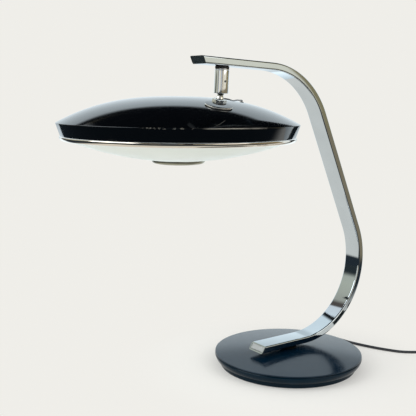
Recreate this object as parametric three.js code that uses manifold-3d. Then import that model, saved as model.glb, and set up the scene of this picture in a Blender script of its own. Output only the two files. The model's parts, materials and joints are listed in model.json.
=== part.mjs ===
// Desk lamp: a saucer shade on a chrome arm of bent rectangular tube, on a heavy round base.
// Millimetres, +Z up. The origin lies on the table, under the middle of the base. The arm lies in the
// XZ plane: its foot crosses the base, it sweeps out to +X and comes back over the base towards -X.
// The shade hangs under the arm's end on a ball joint and is swung round to +Y.

import * as THREE from 'three';
import { mergeVertices } from 'three/addons/utils/BufferGeometryUtils.js';
import Module from 'manifold-3d';

const wasm = await Module();
wasm.setup();

// General clearances and counts
const seat = 0.3; // gap between pieces that rest on each other
const slip = 0.5; // radial gap round a piece that passes through another
const overrun = 1; // how far a cut runs past what it cuts
const hexagon = 6;
const weldTolerance = 1e-4;
const wideSegments = 46;
const baseSegments = 40;
const panSegments = 36;
const middleSegments = 20;
const discSegments = 28;
const smallSegments = 16;

// Base
const baseRadius = 104; // edge of the domed top plate
const baseEdgeHeight = 19.4; // upper edge of that plate above the table
const baseCrown = 5.6; // rise of its middle above its edge
const plateThickness = 1.5;
const plateShares = [1, 0.75, 0.5, 0.25];
const feltSetBack = 2.6; // the felt's edge inside the pan's
const feltThickness = 1.5;
const panSetBack = 7.9; // bottom edge of the plinth, inside the top plate's edge
const panFlare = 0.5; // how much wider the plinth is at its shoulder
const panLift = 0.9; // its bottom edge above the table
const panFloor = 1.2; // thickness of the pan's floor
const panShoulder = 8.1; // height of the shoulder that carries the band
const panRimHeight = 12;
const panWall = 1.5;
const panRimInset = 1.4;
const hubRadius = 17;
const hubRise = 5.6; // the pan's raised middle, which takes the lower nut
const bandTopSetBack = 0.4; // the band's radii, against the top plate's
const bandBellySetBack = -0.3;
const bandFootSetBack = 3.2;
const bandTopHeight = 17.3;
const bandBellyHeight = 15.2;
const bandWall = 1.6;
const bandLip = 1.3;
const weightSetBack = 5.1; // the weight's edge inside the pan's
const weightWell = 9; // hole through the weight for the pivot tube and the flex
const weightHubGap = 1.2;
const flexSlotWidth = 9;
const flexSlotDepth = 7;

// Pivot between the base and the arm
const pivotRadius = 5;
const pivotBore = 3.4;
const pivotFoot = 2.4; // lower end of the pivot tube above the table
const pivotNutCorner = 8;
const pivotNutHeight = 3.4;
const spacerRadius = 11.8;
const swivelNutCorner = 8;
const swivelNutHeight = 3;
const swivelWasherRadius = 8;
const swivelWasherThickness = 0.5;
const pivotTopMargin = 0.3;
const bushWall = 1.4;
const bushFlangeRadius = 9;
const bushFlange = 0.7;

// Arm
const armWidth = 28;
const armThickness = 9.6;
const armWall = 1.4;
const armCornerRadius = 2;
const armCornerSteps = 2;
const footEndX = -60.9; // lower edge of the arm's foot end
const footGap = 4.9; // between the top of the base and the arm's underside
const footSlant = 6.7; // how much shorter the foot's upper side is
const footRun = 82.5; // straight run of the foot
const bendRadius = 108.4; // both bends, on the centreline
const leanHeading = THREE.MathUtils.degToRad(114.7); // heading of the long straight from +X
const leanRun = 184.2;
const barHeading = THREE.MathUtils.degToRad(177.6); // heading of the top bar
const barRun = 115;
const armSteps = 46;
const capLength = 1.4; // how far the black end cap shows on its upper side
const tipSlant = 4.9;
const capSeamSlant = 4.4;
const spigotLength = 11;
const plugLength = 9;
const plugRecess = 0.4;
const armFlexRadius = 2;
const armFlexSides = 6;
const armFlexSteps = 30;
const armFlexStart = 11; // clear of the swivel nut
const armFlexEnd = 10; // clear of the stem's nut

// Stem under the end of the arm
const stemFromBend = 74.1; // along the bar, from the end of the upper bend
const stemRadius = 9.25;
const stemBore = 7.25;
const stemLength = 28.8;
const stemRoof = 2.4;
const stemWasherRadius = 8.9;
const stemWasherThickness = 3.1;
const stemRingThickness = 1.5;
const boltRadius = 5;
const boltBore = 3.2;
const boltHeadCorner = 6.9;
const boltHeadHeight = 3;
const boltTop = 5.4; // how far the bolt reaches into the arm
const stemNutCorner = 8;
const stemNutHeight = 3;
const lipThickness = 1.4;
const setScrewBearing = THREE.MathUtils.degToRad(-95.5); // from +X, where the screw's hole faces
const setScrewDrop = 14; // below the top of the stem tube
const setScrewRadius = 1.2;
const setScrewHoleRadius = 1.6;
const setScrewRecess = 0.6;
const springRadius = 4.9;
const springWire = 0.6;
const springTurns = 3;
const springTurnSteps = 8;
const springSides = 5;
const seatPieceHeight = 7.6;

// Ball joint
const ballRadius = 6.4;
const ballLift = 3.5; // centre of the ball above the stem's lower edge
const linerThickness = 0.35;
const linerSteps = 2;
const linerTopAngle = THREE.MathUtils.degToRad(82); // all three from straight down
const linerFootAngle = THREE.MathUtils.degToRad(66);
const arcSteps = 5;
const neckRadius = 4;
const neckCollarRadius = 5.2;
const neckWaistDrop = 7.4; // below the ball's centre, end of the thin part of the neck
const neckCollarDrop = 9.5;
const neckDrop = 19.9; // from the ball's centre to the shade's surface, along the neck
const neckBore = 2.2;
const neckThreadRadius = 4.7;
const neckNutCorner = 9.4;
const neckNutHeight = 6;
const neckNutLift = 2.8; // lower face of the nut above the shade's surface
const flangeRadius = 18;
const flangeThickness = 1.7;
const flangeBevel = 0.7;
const flangeSkirt = 0.35;
const neckTail = 11.5; // length of the neck inside the shade
const domeWasherRadius = 14;
const domeWasherThickness = 1.5;
const domeWasherSag = 0.8; // the inside of the dome falls by this at the washer's edge
const domeNutCorner = 8.6;
const domeNutHeight = 4.5;

// Shade, in its own frame: Z = 0 is the crease between the dome and its band
const shadeRadius = 170;
const domeRise = 37.5;
const domePower = 2.55;
const domeShares = [0, 0.2, 0.36, 0.5, 0.62, 0.73, 0.83, 0.91, 0.97];
const innerShares = [0.985, 0.87, 0.75, 0.63, 0.52, 0.3, 0];
const shadeWall = 1.2;
const bandDepth = 17.8;
const bandDrawIn = 6.2; // how much narrower the band is at its lower edge
const jointShare = 0.63; // of the shade's radius, from its axis to the neck, where it meets the dome
const shadeBearing = THREE.MathUtils.degToRad(84.5); // from +X, from the joint towards the shade's axis
const bezelOverhang = 1.6; // how far it stands out past the band's lower edge
const bezelHeight = 6.2;
const bezelInset = 7.9; // from its outer edge to its opening
const bezelWall = 1;
const bezelSteps = 4;
const glassRimWidth = 4;
const glassThickness = 3;
const glassDepth = 29.6;
const glassPower = 2.05;
const glassShares = [1, 0.84, 0.6, 0.32];
const glassHole = 4;
const discRadius = 37.8;
const discDepth = 6;
const discWall = 1.2;
const discShares = [[1, 0], [0.98, 0.45], [0.85, 0.85], [0.6, 0.97]]; // radius, depth
const discBossRadius = 7;
const discGap = 0.35;
const rodRadius = 3;
const rodNutCorner = 5.8;
const rodNutHeight = 3;
const rodTopLength = 6;
const barDrop = 9; // top of the cross bar below the crease
const crossBarWidth = 24;
const crossBarThickness = 1.5;
const crossBarGap = 0.5;
const bracketWidth = 20;
const bracketReach = 24;
const bracketThickness = 1.5;
const bracketTabHeight = 13;
const holderAxisLift = 7; // lamp holder's axis above the cross bar
const holderRadius = 11;
const holderBore = 7.5;
const holderLength = 26;
const holderFloor = 3;
const bulbCapRadius = 7;
const bulbCapLength = 23.5;
const bulbRadius = 22.5;
const bulbNeckLength = 14;
const bulbShoulder = THREE.MathUtils.degToRad(45); // where the globe begins, from its axis
const blockLength = 20;
const blockWidth = 14;
const blockHeight = 10;
const blockFromAxis = 25;
const innerLeadRadius = 2;
const innerLeadSides = 8;
const innerLeadSteps = 10;
const innerLeadShares = [[0.74, 2], [0.55, 0], [0.25, 0], [0, 0]]; // of its run along the bar, lift

// Wire from the neck into the dome
const headLeadRadius = 0.9;
const headLeadSides = 8;
const headLeadSteps = 12;
const headLeadDrop = 9.5; // where it leaves the neck, below the ball's centre
const headLeadTurn = THREE.MathUtils.degToRad(53); // side of the neck it leaves on
const headLeadLift = 1.5; // its middle over the dome where it lies on it
const headLeadShares = [0.35, 0.62, 0.82]; // where it lies on the dome, from the neck to the grommet
const headLeadArch = 4.3; // top of its turn, above the grommet's foot
const grommetShare = 0.52; // of the shade's radius, from its axis
const grommetTurn = THREE.MathUtils.degToRad(50);
const grommetRadius = 3.3;
const grommetWaist = 2.4;
const grommetBore = 1.25;
const grommetLip = 1.4;
const grommetSegments = 12;

// Mains cord with its switch and plug
const cordRadius = 2.1;
const cordSides = 8;
const reliefBearing = THREE.MathUtils.degToRad(47); // from +X, where the cord leaves the base
const reliefHeight = 5.1;
const reliefLength = 26;
const reliefRootRadius = 3;
const reliefTipRadius = 2.7;
const shoulderWidth = 10; // the relief's shoulder, behind the pan's wall
const shoulderHeight = 5;
const shoulderLength = 1.8;
const flexRadius = 1.7; // the cable inside the base
const baseFlexSides = 8;
const baseFlexSteps = 10;
const nearSteps = 28;
const farSteps = 12;
const switchAt = [122.9, -217.2]; // from the tip of the strain relief
const switchHeading = THREE.MathUtils.degToRad(-58);
const switchLength = 58;
const switchWidth = 22;
const switchHeight = 17.4;
const switchWall = 1.8;
const switchEndWalls = 5.4; // thickness of the case at each end
const switchBase = 0.3; // its underside above the table
const switchSeam = 9;
const switchCordHeight = 8.7;
const switchCorner = 7;
const rockerLength = 18;
const rockerWidth = 9;
const rockerTilt = THREE.MathUtils.degToRad(8);
const rockerDepth = 6.5;
const rockerDish = 1.5;
const rockerPinRadius = 1.2;
const rockerPinDrop = 3.6; // below the top of the case
const rockerRise = 1.6; // its middle above the case
const coilMiddleRadius = 24;
const coilPitch = 4.75; // from loop to loop, sideways and upwards
const coilLayers = 4;
const coilLayerTurns = 2.25;
const coilTurnSteps = 24;
const coilSides = 6;
const coilBottom = 1.2; // under the coil's lowest loops
const coilStart = THREE.MathUtils.degToRad(-90);
const coilEndTurns = 0.45; // the loop that comes down outside the others
const coilEndPitches = 2.2;
const coilOutShare = 0.8; // part of that loop that it takes to come out
const coilDownFrom = 0.3; // part of it passed before it comes down
const tieBearing = THREE.MathUtils.degToRad(135);
const tieWidth = 5;
const tieWall = 0.5;
const plugBodyLength = 33;
const plugWidth = 26;
const plugHeight = 13.6;
const plugNose = 15;
const plugTail = 4.6; // half its width where the cord goes in
const plugWaist = 5.75; // half its width midway along its taper
const pinRadius = 2;
const pinLength = 19;
const pinSpacing = 18;
const pinSides = 12;

// The near cord's route on the table, from the tip of the strain relief to the switch, as X, Y and Z:
// X and Y are measured from that tip.
const nearRoute = [
  [6.3, 6.6, 3.6], [14.5, 10.5, 2.4], [24.8, 10.2, 2.4], [35.6, 3.6, 2.4], [43.5, -7.8, 2.4],
  [48.7, -23.7, 2.4], [51.9, -42.2, 2.4], [54, -61.5, 2.4], [57, -80, 2.4], [62.4, -99.7, 2.4],
  [69.2, -118.7, 2.4], [77.5, -136.7, 2.4], [86.3, -154.2, 2.9], [95.5, -171, 5.2],
];
// The far cord's route from the switch to where the coil begins, measured in the same way
const farRoute = [
  [148.5, -252.2, 5.6], [156.3, -252.8, 3.9], [164.3, -249.4, 3.4], [171.9, -244.6, 3.3],
  [176.5, -242.6, 3.3],
];
const farEnd = [180.4, -241.8, 3.3];
const switchLead = 7; // straight run of the cord at each end of the switch

const materials = {
  chrome: finish(0xc8cccd, 0.12, 1),
  blackLacquer: finish(0x07090b, 0.14, 0),
  satinBlack: finish(0x232a33, 0.38, 0.2),
  blackPlastic: finish(0x141c1e, 0.42, 0),
  greyPlug: finish(0xa9aeab, 0.4, 0.5),
  steel: finish(0x9a9c9d, 0.4, 0.9),
  brass: finish(0xb08d4a, 0.35, 1),
  iron: finish(0x3c3c3e, 0.7, 0.8),
  felt: finish(0x1d2320, 0.95, 0),
  rubber: finish(0x0d0d0e, 0.75, 0),
  nylon: finish(0xd8d4c6, 0.5, 0),
  glass: finish(0xdfe6e1, 0.35, 0),
  bulbGlass: finish(0xf2f0e8, 0.2, 0),
  porcelain: finish(0xe6e2d6, 0.3, 0),
  cable: finish(0x0b0c0e, 0.45, 0),
};

function finish(color, roughness, metalness) {
  return new THREE.MeshStandardMaterial({ color, roughness, metalness });
}

// Shared geometry tools

function add(parent, name, geometry, material) {
  const mesh = new THREE.Mesh(geometry, material);
  mesh.name = name;
  parent.add(mesh);
  return mesh;
}

function signedVolume(geometry) {
  const position = geometry.attributes.position;
  const corners = [new THREE.Vector3(), new THREE.Vector3(), new THREE.Vector3()];
  let volume = 0;
  for (let i = 0; i < geometry.index.count; i += 3) {
    corners.forEach((corner, k) => corner.fromBufferAttribute(position, geometry.index.getX(i + k)));
    volume += corners[0].dot(corners[1].cross(corners[2]));
  }
  return volume;
}

// One closed body: shared points are joined, flat triangles dropped, and the faces point out.
function closed(geometry) {
  const bare = geometry.index ? geometry.toNonIndexed() : geometry.clone();
  bare.deleteAttribute('normal');
  bare.deleteAttribute('uv');
  const merged = mergeVertices(bare, weldTolerance);
  const kept = [];
  for (let i = 0; i < merged.index.count; i += 3) {
    const [a, b, c] = [merged.index.getX(i), merged.index.getX(i + 1), merged.index.getX(i + 2)];
    if (a !== b && b !== c && c !== a) kept.push(a, b, c);
  }
  merged.setIndex(kept);
  if (signedVolume(merged) < 0) merged.setIndex(kept.reverse());
  merged.computeVertexNormals();
  return merged;
}

function solidOf(geometry) {
  const body = closed(geometry);
  const vertProperties = new Float32Array(body.attributes.position.array);
  const triVerts = new Uint32Array(body.index.array);
  return new wasm.Manifold(new wasm.Mesh({ numProp: 3, vertProperties, triVerts }));
}

function geometryOf(solid) {
  const { vertProperties, triVerts } = solid.getMesh();
  const geometry = new THREE.BufferGeometry();
  geometry.setAttribute('position', new THREE.BufferAttribute(vertProperties, 3));
  geometry.setIndex(new THREE.BufferAttribute(triVerts, 1));
  geometry.computeVertexNormals();
  return geometry;
}

function cut(geometry, ...tools) {
  return geometryOf(tools.reduce((left, tool) => left.subtract(solidOf(tool)), solidOf(geometry)));
}

function join(geometry, ...others) {
  return geometryOf(others.reduce((whole, other) => whole.add(solidOf(other)), solidOf(geometry)));
}

// A body turned about Z from a profile of [radius, height] pairs.
function turned(profile, segments) {
  const points = profile.map(([radius, height]) => new THREE.Vector2(radius, height));
  return closed(new THREE.LatheGeometry(points, segments).rotateX(Math.PI / 2));
}

function disc(radius, bottom, top, segments) {
  return turned([[0, bottom], [radius, bottom], [radius, top], [0, top]], segments);
}

function ring(outer, inner, bottom, top, segments) {
  return turned([[inner, bottom], [outer, bottom], [outer, top], [inner, top], [inner, bottom]], segments);
}

function block(lengthX, widthY, bottom, top) {
  const box = new THREE.BoxGeometry(lengthX, widthY, top - bottom);
  return closed(box.translate(0, 0, (bottom + top) / 2));
}

// A hexagon nut about Z, sized by its corner radius.
function nut(corner, bore, bottom, top) {
  const outline = new THREE.Shape();
  for (let k = 0; k < hexagon; k += 1) {
    const angle = (k * 2 * Math.PI) / hexagon;
    const [x, y] = [corner * Math.cos(angle), corner * Math.sin(angle)];
    if (k === 0) outline.moveTo(x, y);
    else outline.lineTo(x, y);
  }
  outline.closePath();
  const hole = new THREE.Path();
  hole.absarc(0, 0, bore, 0, 2 * Math.PI, true);
  outline.holes.push(hole);
  const options = { depth: top - bottom, bevelEnabled: false, curveSegments: smallSegments / 2 };
  return closed(new THREE.ExtrudeGeometry(outline, options).translate(0, 0, bottom));
}

// A body of even width across Y, from its outline of [x, z] pairs.
function slab(outline, width) {
  const shape = new THREE.Shape(outline.map(([x, z]) => new THREE.Vector2(x, z)));
  const options = { depth: width, bevelEnabled: false };
  return closed(new THREE.ExtrudeGeometry(shape, options).rotateX(Math.PI / 2).translate(0, width / 2, 0));
}

// A round tube or cord along a curve.
function tube(curve, radius, sides, steps) {
  const section = new THREE.Shape();
  for (let k = 0; k < sides; k += 1) {
    const angle = ((k + 1 / 2) * 2 * Math.PI) / sides;
    const [x, y] = [radius * Math.cos(angle), radius * Math.sin(angle)];
    if (k === 0) section.moveTo(x, y);
    else section.lineTo(x, y);
  }
  section.closePath();
  return closed(new THREE.ExtrudeGeometry(section, { steps, bevelEnabled: false, extrudePath: curve }));
}

function smoothCurve(points) {
  return new THREE.CatmullRomCurve3(points.map((p) => new THREE.Vector3(...p)), false, 'centripetal');
}

// A rectangle with rounded corners, as a shape or a hole.
function roundedRectangle(Kind, sizeX, sizeY, radius) {
  const outline = new Kind();
  const [x, y] = [sizeX / 2 - radius, sizeY / 2 - radius];
  const corners = [[x, y], [-x, y], [-x, -y], [x, -y]];
  corners.forEach(([cx, cy], quarter) => {
    for (let k = 0; k <= armCornerSteps; k += 1) {
      const angle = ((quarter + k / armCornerSteps) * Math.PI) / 2;
      const [px, py] = [cx + radius * Math.cos(angle), cy + radius * Math.sin(angle)];
      if (quarter === 0 && k === 0) outline.moveTo(px, py);
      else outline.lineTo(px, py);
    }
  });
  outline.closePath();
  return outline;
}

// Heights that the base and the arm share
const panRadius = baseRadius - panSetBack;
const panShoulderRadius = panRadius + panFlare;
const panRimRadius = panShoulderRadius - panRimInset;
const feltRadius = panRadius - feltSetBack;
const weightRadius = panRadius - weightSetBack;
const plateTop = baseEdgeHeight + baseCrown;
const armUnderside = plateTop + footGap;
const armFootZ = armUnderside + armThickness / 2;
const armFloor = armUnderside + armWall;

function plateHeight(radius) {
  return baseEdgeHeight + baseCrown * (1 - (radius / baseRadius) ** 2);
}

// Arm centreline: place and heading at a distance s from the foot's end
const armRuns = [
  { length: footRun, turn: 0 },
  { length: bendRadius * leanHeading, turn: leanHeading },
  { length: leanRun, turn: 0 },
  { length: bendRadius * (barHeading - leanHeading), turn: barHeading - leanHeading },
  { length: barRun, turn: 0 },
];
const armLength = armRuns.reduce((sum, run) => sum + run.length, 0);
const tubeLength = armLength - capLength;

function armAt(s) {
  let [x, z, heading, left] = [footEndX, armFootZ, 0, s];
  for (const { length, turn } of armRuns) {
    const step = Math.min(left, length);
    if (turn === 0) {
      x += step * Math.cos(heading);
      z += step * Math.sin(heading);
    } else {
      const next = heading + (turn * step) / length;
      x += bendRadius * (Math.sin(next) - Math.sin(heading));
      z += bendRadius * (Math.cos(heading) - Math.cos(next));
      heading = next;
    }
    left -= step;
    if (left <= 0) break;
  }
  return { x, z, heading };
}

// The line of the arm between two distances, moved sideways towards the inside of its bends.
class ArmLine extends THREE.Curve {
  constructor(from, to, inwards) {
    super();
    Object.assign(this, { from, to, inwards });
  }

  getPoint(t, target = new THREE.Vector3()) {
    const { x, z, heading } = armAt(this.from + (this.to - this.from) * t);
    return target.set(x - this.inwards * Math.sin(heading), 0, z + this.inwards * Math.cos(heading));
  }
}

// A frame on the top bar: its Z points out of the bar's upper side, its X back towards the bend.
function barFrame(s, drop) {
  const { x, z, heading } = armAt(s);
  const frame = new THREE.Group();
  frame.rotation.y = Math.PI - heading;
  frame.position.set(x - drop * Math.sin(heading), 0, z + drop * Math.cos(heading));
  frame.updateMatrix();
  return frame;
}

// Base

function baseFelt() {
  return disc(feltRadius, 0, feltThickness, baseSegments);
}

function basePan() {
  const floor = feltThickness + seat;
  const hubTop = floor + hubRise + panWall;
  const [shoulder, rim] = [panShoulderRadius, panRimRadius];
  const profile = [
    [pivotRadius + slip, hubTop - panWall], [hubRadius - panWall, hubTop - panWall], [hubRadius, floor],
    [panRadius - panWall, floor], [panRadius - panWall, panLift], [panRadius, panLift],
    [shoulder, panShoulder],
    [rim, panShoulder], [rim, panRimHeight], [rim - panWall, panRimHeight], [rim - panWall, floor + panFloor],
    [hubRadius + panWall, floor + panFloor], [hubRadius, hubTop], [pivotRadius + slip, hubTop],
    [pivotRadius + slip, hubTop - panWall],
  ];
  return cut(turned(profile, panSegments), reliefHole(reliefRootRadius + seat));
}

function reliefHole(radius) {
  const length = panRadius / 2;
  const hole = new THREE.CylinderGeometry(radius, radius, length, smallSegments);
  hole.rotateZ(Math.PI / 2).translate(weightRadius + length / 2, 0, reliefHeight);
  return hole.rotateZ(reliefBearing);
}

function baseWeight() {
  const foot = feltThickness + panFloor + 2 * seat;
  const hubTop = foot + hubRise + weightHubGap;
  const hub = hubRadius + panWall + weightHubGap;
  const rim = weightRadius;
  const crown = [1, 1 / 2].map((share) => [rim * share, plateHeight(rim * share) - plateThickness - seat]);
  const top = plateHeight(weightWell) - plateThickness - seat;
  const profile = [
    [weightWell, hubTop], [hub - hubRise / 2, hubTop], [hub, foot], [rim, foot], ...crown, [weightWell, top],
    [weightWell, hubTop],
  ];
  const slot = new THREE.BoxGeometry(weightRadius, flexSlotWidth, flexSlotDepth);
  slot.translate(weightRadius / 2 + weightWell, 0, foot - overrun + flexSlotDepth / 2);
  return cut(turned(profile, discSegments), slot.rotateZ(reliefBearing));
}

function baseBand() {
  const lip = panShoulder + seat;
  const inner = panRimRadius + slip;
  const top = baseRadius - bandTopSetBack;
  const belly = baseRadius - bandBellySetBack;
  const foot = baseRadius - bandFootSetBack;
  const middle = [(belly * 2 + foot) / 3, (bandBellyHeight + lip) / 2];
  const profile = [
    [top, bandTopHeight], [belly, bandBellyHeight], middle, [foot, lip], [inner, lip], [inner, lip + bandLip],
    [foot - bandWall, lip + bandLip], [belly - bandWall, bandBellyHeight], [top - bandWall, bandTopHeight],
    [top, bandTopHeight],
  ];
  return turned(profile, baseSegments);
}

function baseTop() {
  const hole = pivotRadius + slip;
  const radii = [...plateShares.map((share) => baseRadius * share), hole];
  const upper = radii.map((radius) => [radius, plateHeight(radius)]);
  const lower = radii.map((radius) => [radius, plateHeight(radius) - plateThickness]).reverse();
  return turned([...upper, ...lower, upper[0]], baseSegments);
}

// Heights inside the arm's foot, from its floor upwards
const washerFoot = armFloor + bushFlange + 2 * seat;
const swivelNutFoot = washerFoot + swivelWasherThickness + seat;
const pivotTop = swivelNutFoot + swivelNutHeight + pivotTopMargin;

function buildBase(lamp) {
  const spacerFoot = plateTop + seat;
  const lowerTop = feltThickness + hubRise;
  const upperTop = plateTop - plateThickness - seat;
  add(lamp, 'base_felt', baseFelt(), materials.felt);
  add(lamp, 'base_pan', basePan(), materials.satinBlack);
  add(lamp, 'base_weight', baseWeight(), materials.iron);
  add(lamp, 'base_band', baseBand(), materials.satinBlack);
  add(lamp, 'base_top', baseTop(), materials.satinBlack);
  add(lamp, 'pivot_tube', ring(pivotRadius, pivotBore, pivotFoot, pivotTop, smallSegments), materials.steel);
  [lowerTop, upperTop].forEach((top, k) => {
    const pivotNut = nut(pivotNutCorner, pivotRadius + seat, top - pivotNutHeight, top);
    add(lamp, `pivot_nut_${k + 1}`, pivotNut, materials.steel);
  });
  const spacer = ring(spacerRadius, pivotRadius + seat, spacerFoot, armUnderside - seat, middleSegments);
  add(lamp, 'foot_spacer', spacer, materials.blackPlastic);
  const washerTop = washerFoot + swivelWasherThickness;
  const washer = ring(swivelWasherRadius, pivotRadius + seat, washerFoot, washerTop, smallSegments);
  add(lamp, 'swivel_washer', washer, materials.steel);
  const topNut = nut(swivelNutCorner, pivotRadius + seat, swivelNutFoot, swivelNutFoot + swivelNutHeight);
  add(lamp, 'swivel_nut', topNut, materials.brass);
}

// Arm

function wedgePast(lower, upper, away) {
  const [dx, dz] = [upper[0] - lower[0], upper[1] - lower[1]];
  const start = [lower[0] - dx, lower[1] - dz];
  const end = [upper[0] + dx, upper[1] + dz];
  return slab([start, end, [away, end[1]], [away, start[1]]], armWidth + 2 * overrun);
}

function armTube() {
  const outline = roundedRectangle(THREE.Shape, armThickness, armWidth, armCornerRadius);
  outline.holes.push(boxPath(armThickness - 2 * armWall, armWidth - 2 * armWall));
  const extrudePath = new ArmLine(0, tubeLength, 0);
  const options = { steps: armSteps, bevelEnabled: false, extrudePath };
  const pipe = closed(new THREE.ExtrudeGeometry(outline, options));
  const upperEdge = [footEndX + footSlant, armUnderside + armThickness];
  const footCut = wedgePast([footEndX, armUnderside], upperEdge, footEndX - 2 * armThickness);
  const seam = wedgePast(
    [capSeamSlant, -armThickness / 2], [0, armThickness / 2], -2 * armThickness,
  ).applyMatrix4(barFrame(tubeLength, 0).matrix);
  const pivotHole = disc(pivotRadius + bushWall + slip, armUnderside - overrun, armFootZ, middleSegments);
  const boltHole = disc(boltRadius + slip, -overrun, armThickness / 2, middleSegments);
  boltHole.applyMatrix4(barFrame(stemAlong(), armThickness / 2).matrix);
  return cut(pipe, footCut, seam, pivotHole, boltHole);
}

function boxPath(sizeX, sizeY) {
  const path = new THREE.Path();
  path.moveTo(-sizeX / 2, -sizeY / 2);
  path.lineTo(-sizeX / 2, sizeY / 2);
  path.lineTo(sizeX / 2, sizeY / 2);
  path.lineTo(sizeX / 2, -sizeY / 2);
  path.closePath();
  return path;
}

function stemAlong() {
  return armLength - barRun + stemFromBend;
}

function footEndPlug() {
  const height = armThickness - 2 * (armWall + seat);
  const width = armWidth - 2 * (armWall + seat);
  const floorShare = (armWall + seat) / armThickness;
  const faceFoot = footEndX + footSlant * floorShare + plugRecess;
  const faceTop = footEndX + footSlant * (1 - floorShare) + plugRecess;
  const bottom = armUnderside + armWall + seat;
  const back = faceTop + plugLength;
  const top = bottom + height;
  return slab([[faceFoot, bottom], [back, bottom], [back, top], [faceTop, top]], width);
}

// The tip cap, in the frame of the bar's end: its face leans back towards the underside.
function tipCap() {
  const shape = roundedRectangle(THREE.Shape, armThickness, armWidth, armCornerRadius);
  const options = { depth: capLength + capSeamSlant, bevelEnabled: false };
  const body = closed(new THREE.ExtrudeGeometry(shape, options));
  body.rotateY(Math.PI / 2);
  const [half, seam] = [armThickness / 2, capLength + seat];
  const face = wedgePast([tipSlant, -half], [0, half], -2 * armThickness);
  const back = wedgePast([seam + capSeamSlant - seat, -half], [seam - seat, half], seam + 2 * armThickness);
  back.translate(-seat, 0, 0);
  const spigotHeight = armThickness - 2 * (armWall + seat);
  const spigot = block(spigotLength, armWidth - 2 * (armWall + seat), -spigotHeight / 2, spigotHeight / 2);
  spigot.translate(capLength + spigotLength / 2 - overrun, 0, 0);
  return cut(join(cut(body, back), spigot), face);
}

function armFlex() {
  const from = -footEndX + armFlexStart;
  const inwards = armThickness / 2 - armWall - seat - armFlexRadius;
  const line = new ArmLine(from, stemAlong() - armFlexEnd, inwards);
  return tube(line, armFlexRadius, armFlexSides, armFlexSteps);
}

function swivelBush() {
  const [inner, outer] = [pivotRadius + seat, pivotRadius + bushWall];
  const flangeFoot = armFloor + seat;
  const flangeTop = flangeFoot + bushFlange;
  return turned([
    [inner, armUnderside], [outer, armUnderside], [outer, flangeFoot], [bushFlangeRadius, flangeFoot],
    [bushFlangeRadius, flangeTop], [inner, flangeTop], [inner, armUnderside],
  ], smallSegments);
}

function buildArm(lamp) {
  add(lamp, 'arm_tube', armTube(), materials.chrome);
  add(lamp, 'foot_end_plug', footEndPlug(), materials.greyPlug);
  add(lamp, 'arm_flex', armFlex(), materials.cable);
  add(lamp, 'swivel_bush', swivelBush(), materials.nylon);
  const tip = barFrame(armLength, 0);
  add(tip, 'tip_cap', tipCap(), materials.blackPlastic);
  lamp.add(tip);
}

// Stem, in its own frame: the origin is on the arm's underside, Z points up along the stem
const washerTopZ = -seat;
const washerFootZ = washerTopZ - stemWasherThickness;
const ringTopZ = washerFootZ - seat;
const ringFootZ = ringTopZ - stemRingThickness;
const stemTopZ = ringFootZ - seat;
const stemFootZ = stemTopZ - stemLength;
const ballZ = stemFootZ + ballLift;
const linerOuter = ballRadius + seat + linerThickness;

function stemTube() {
  const bolt = boltRadius + slip;
  const pocket = linerOuter + seat;
  const lipFoot = Math.sqrt(pocket ** 2 - ballLift ** 2);
  const lipTop = Math.sqrt(pocket ** 2 - (ballLift - lipThickness) ** 2);
  const shell = turned([
    [bolt, stemTopZ], [stemRadius, stemTopZ], [stemRadius, stemFootZ], [lipFoot, stemFootZ],
    [lipTop, stemFootZ + lipThickness], [stemBore, ballZ], [stemBore, stemTopZ - stemRoof],
    [bolt, stemTopZ - stemRoof], [bolt, stemTopZ],
  ], middleSegments);
  const hole = new THREE.CylinderGeometry(setScrewHoleRadius, setScrewHoleRadius, stemRadius, smallSegments);
  hole.rotateZ(Math.PI / 2).translate(stemRadius, 0, stemTopZ - setScrewDrop).rotateZ(setScrewBearing);
  return cut(shell, hole);
}

function setScrew() {
  const outer = stemRadius - setScrewRecess;
  const length = outer - stemBore;
  const screw = new THREE.CylinderGeometry(setScrewRadius, setScrewRadius, length, smallSegments);
  screw.rotateZ(Math.PI / 2).translate(outer - length / 2, 0, stemTopZ - setScrewDrop);
  return closed(screw.rotateZ(setScrewBearing));
}

function stemBolt() {
  const headTop = stemTopZ - stemRoof - seat;
  const headFoot = headTop - boltHeadHeight;
  return turned([
    [boltBore, headFoot], [boltHeadCorner, headFoot], [boltHeadCorner, headTop], [boltRadius, headTop],
    [boltRadius, boltTop], [boltBore, boltTop], [boltBore, headFoot],
  ], smallSegments);
}

const springTopZ = stemTopZ - stemRoof - 2 * seat - boltHeadHeight;
const seatPieceFootZ = ballZ + ballRadius - (ballRadius - stemBore / 2);
const seatPieceTopZ = seatPieceFootZ + seatPieceHeight;

function ballSpring() {
  const [top, foot] = [springTopZ - springWire, seatPieceTopZ + seat + springWire];
  const points = [];
  const count = springTurns * springTurnSteps;
  for (let k = 0; k <= count; k += 1) {
    const angle = (2 * Math.PI * k) / springTurnSteps;
    const height = foot + ((top - foot) * k) / count;
    points.push([springRadius * Math.cos(angle), springRadius * Math.sin(angle), height]);
  }
  return tube(smoothCurve(points), springWire, springSides, count);
}

function ballSeat() {
  const pocket = ballRadius + seat;
  const from = Math.PI - Math.asin(boltBore / pocket);
  const to = Math.acos((ballZ - seatPieceFootZ) / pocket);
  const hollow = sphereArc(pocket, from, to, linerSteps).map(([radius, height]) => [radius, ballZ + height]);
  const outer = stemBore - seat;
  return turned([
    ...hollow, [outer, seatPieceFootZ], [outer, seatPieceTopZ], [boltBore, seatPieceTopZ], hollow[0],
  ], middleSegments);
}

function sphereArc(radius, from, to, steps) {
  const points = [];
  for (let k = 0; k <= steps; k += 1) {
    const angle = from + ((to - from) * k) / steps;
    points.push([radius * Math.sin(angle), -radius * Math.cos(angle)]);
  }
  return points;
}

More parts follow.
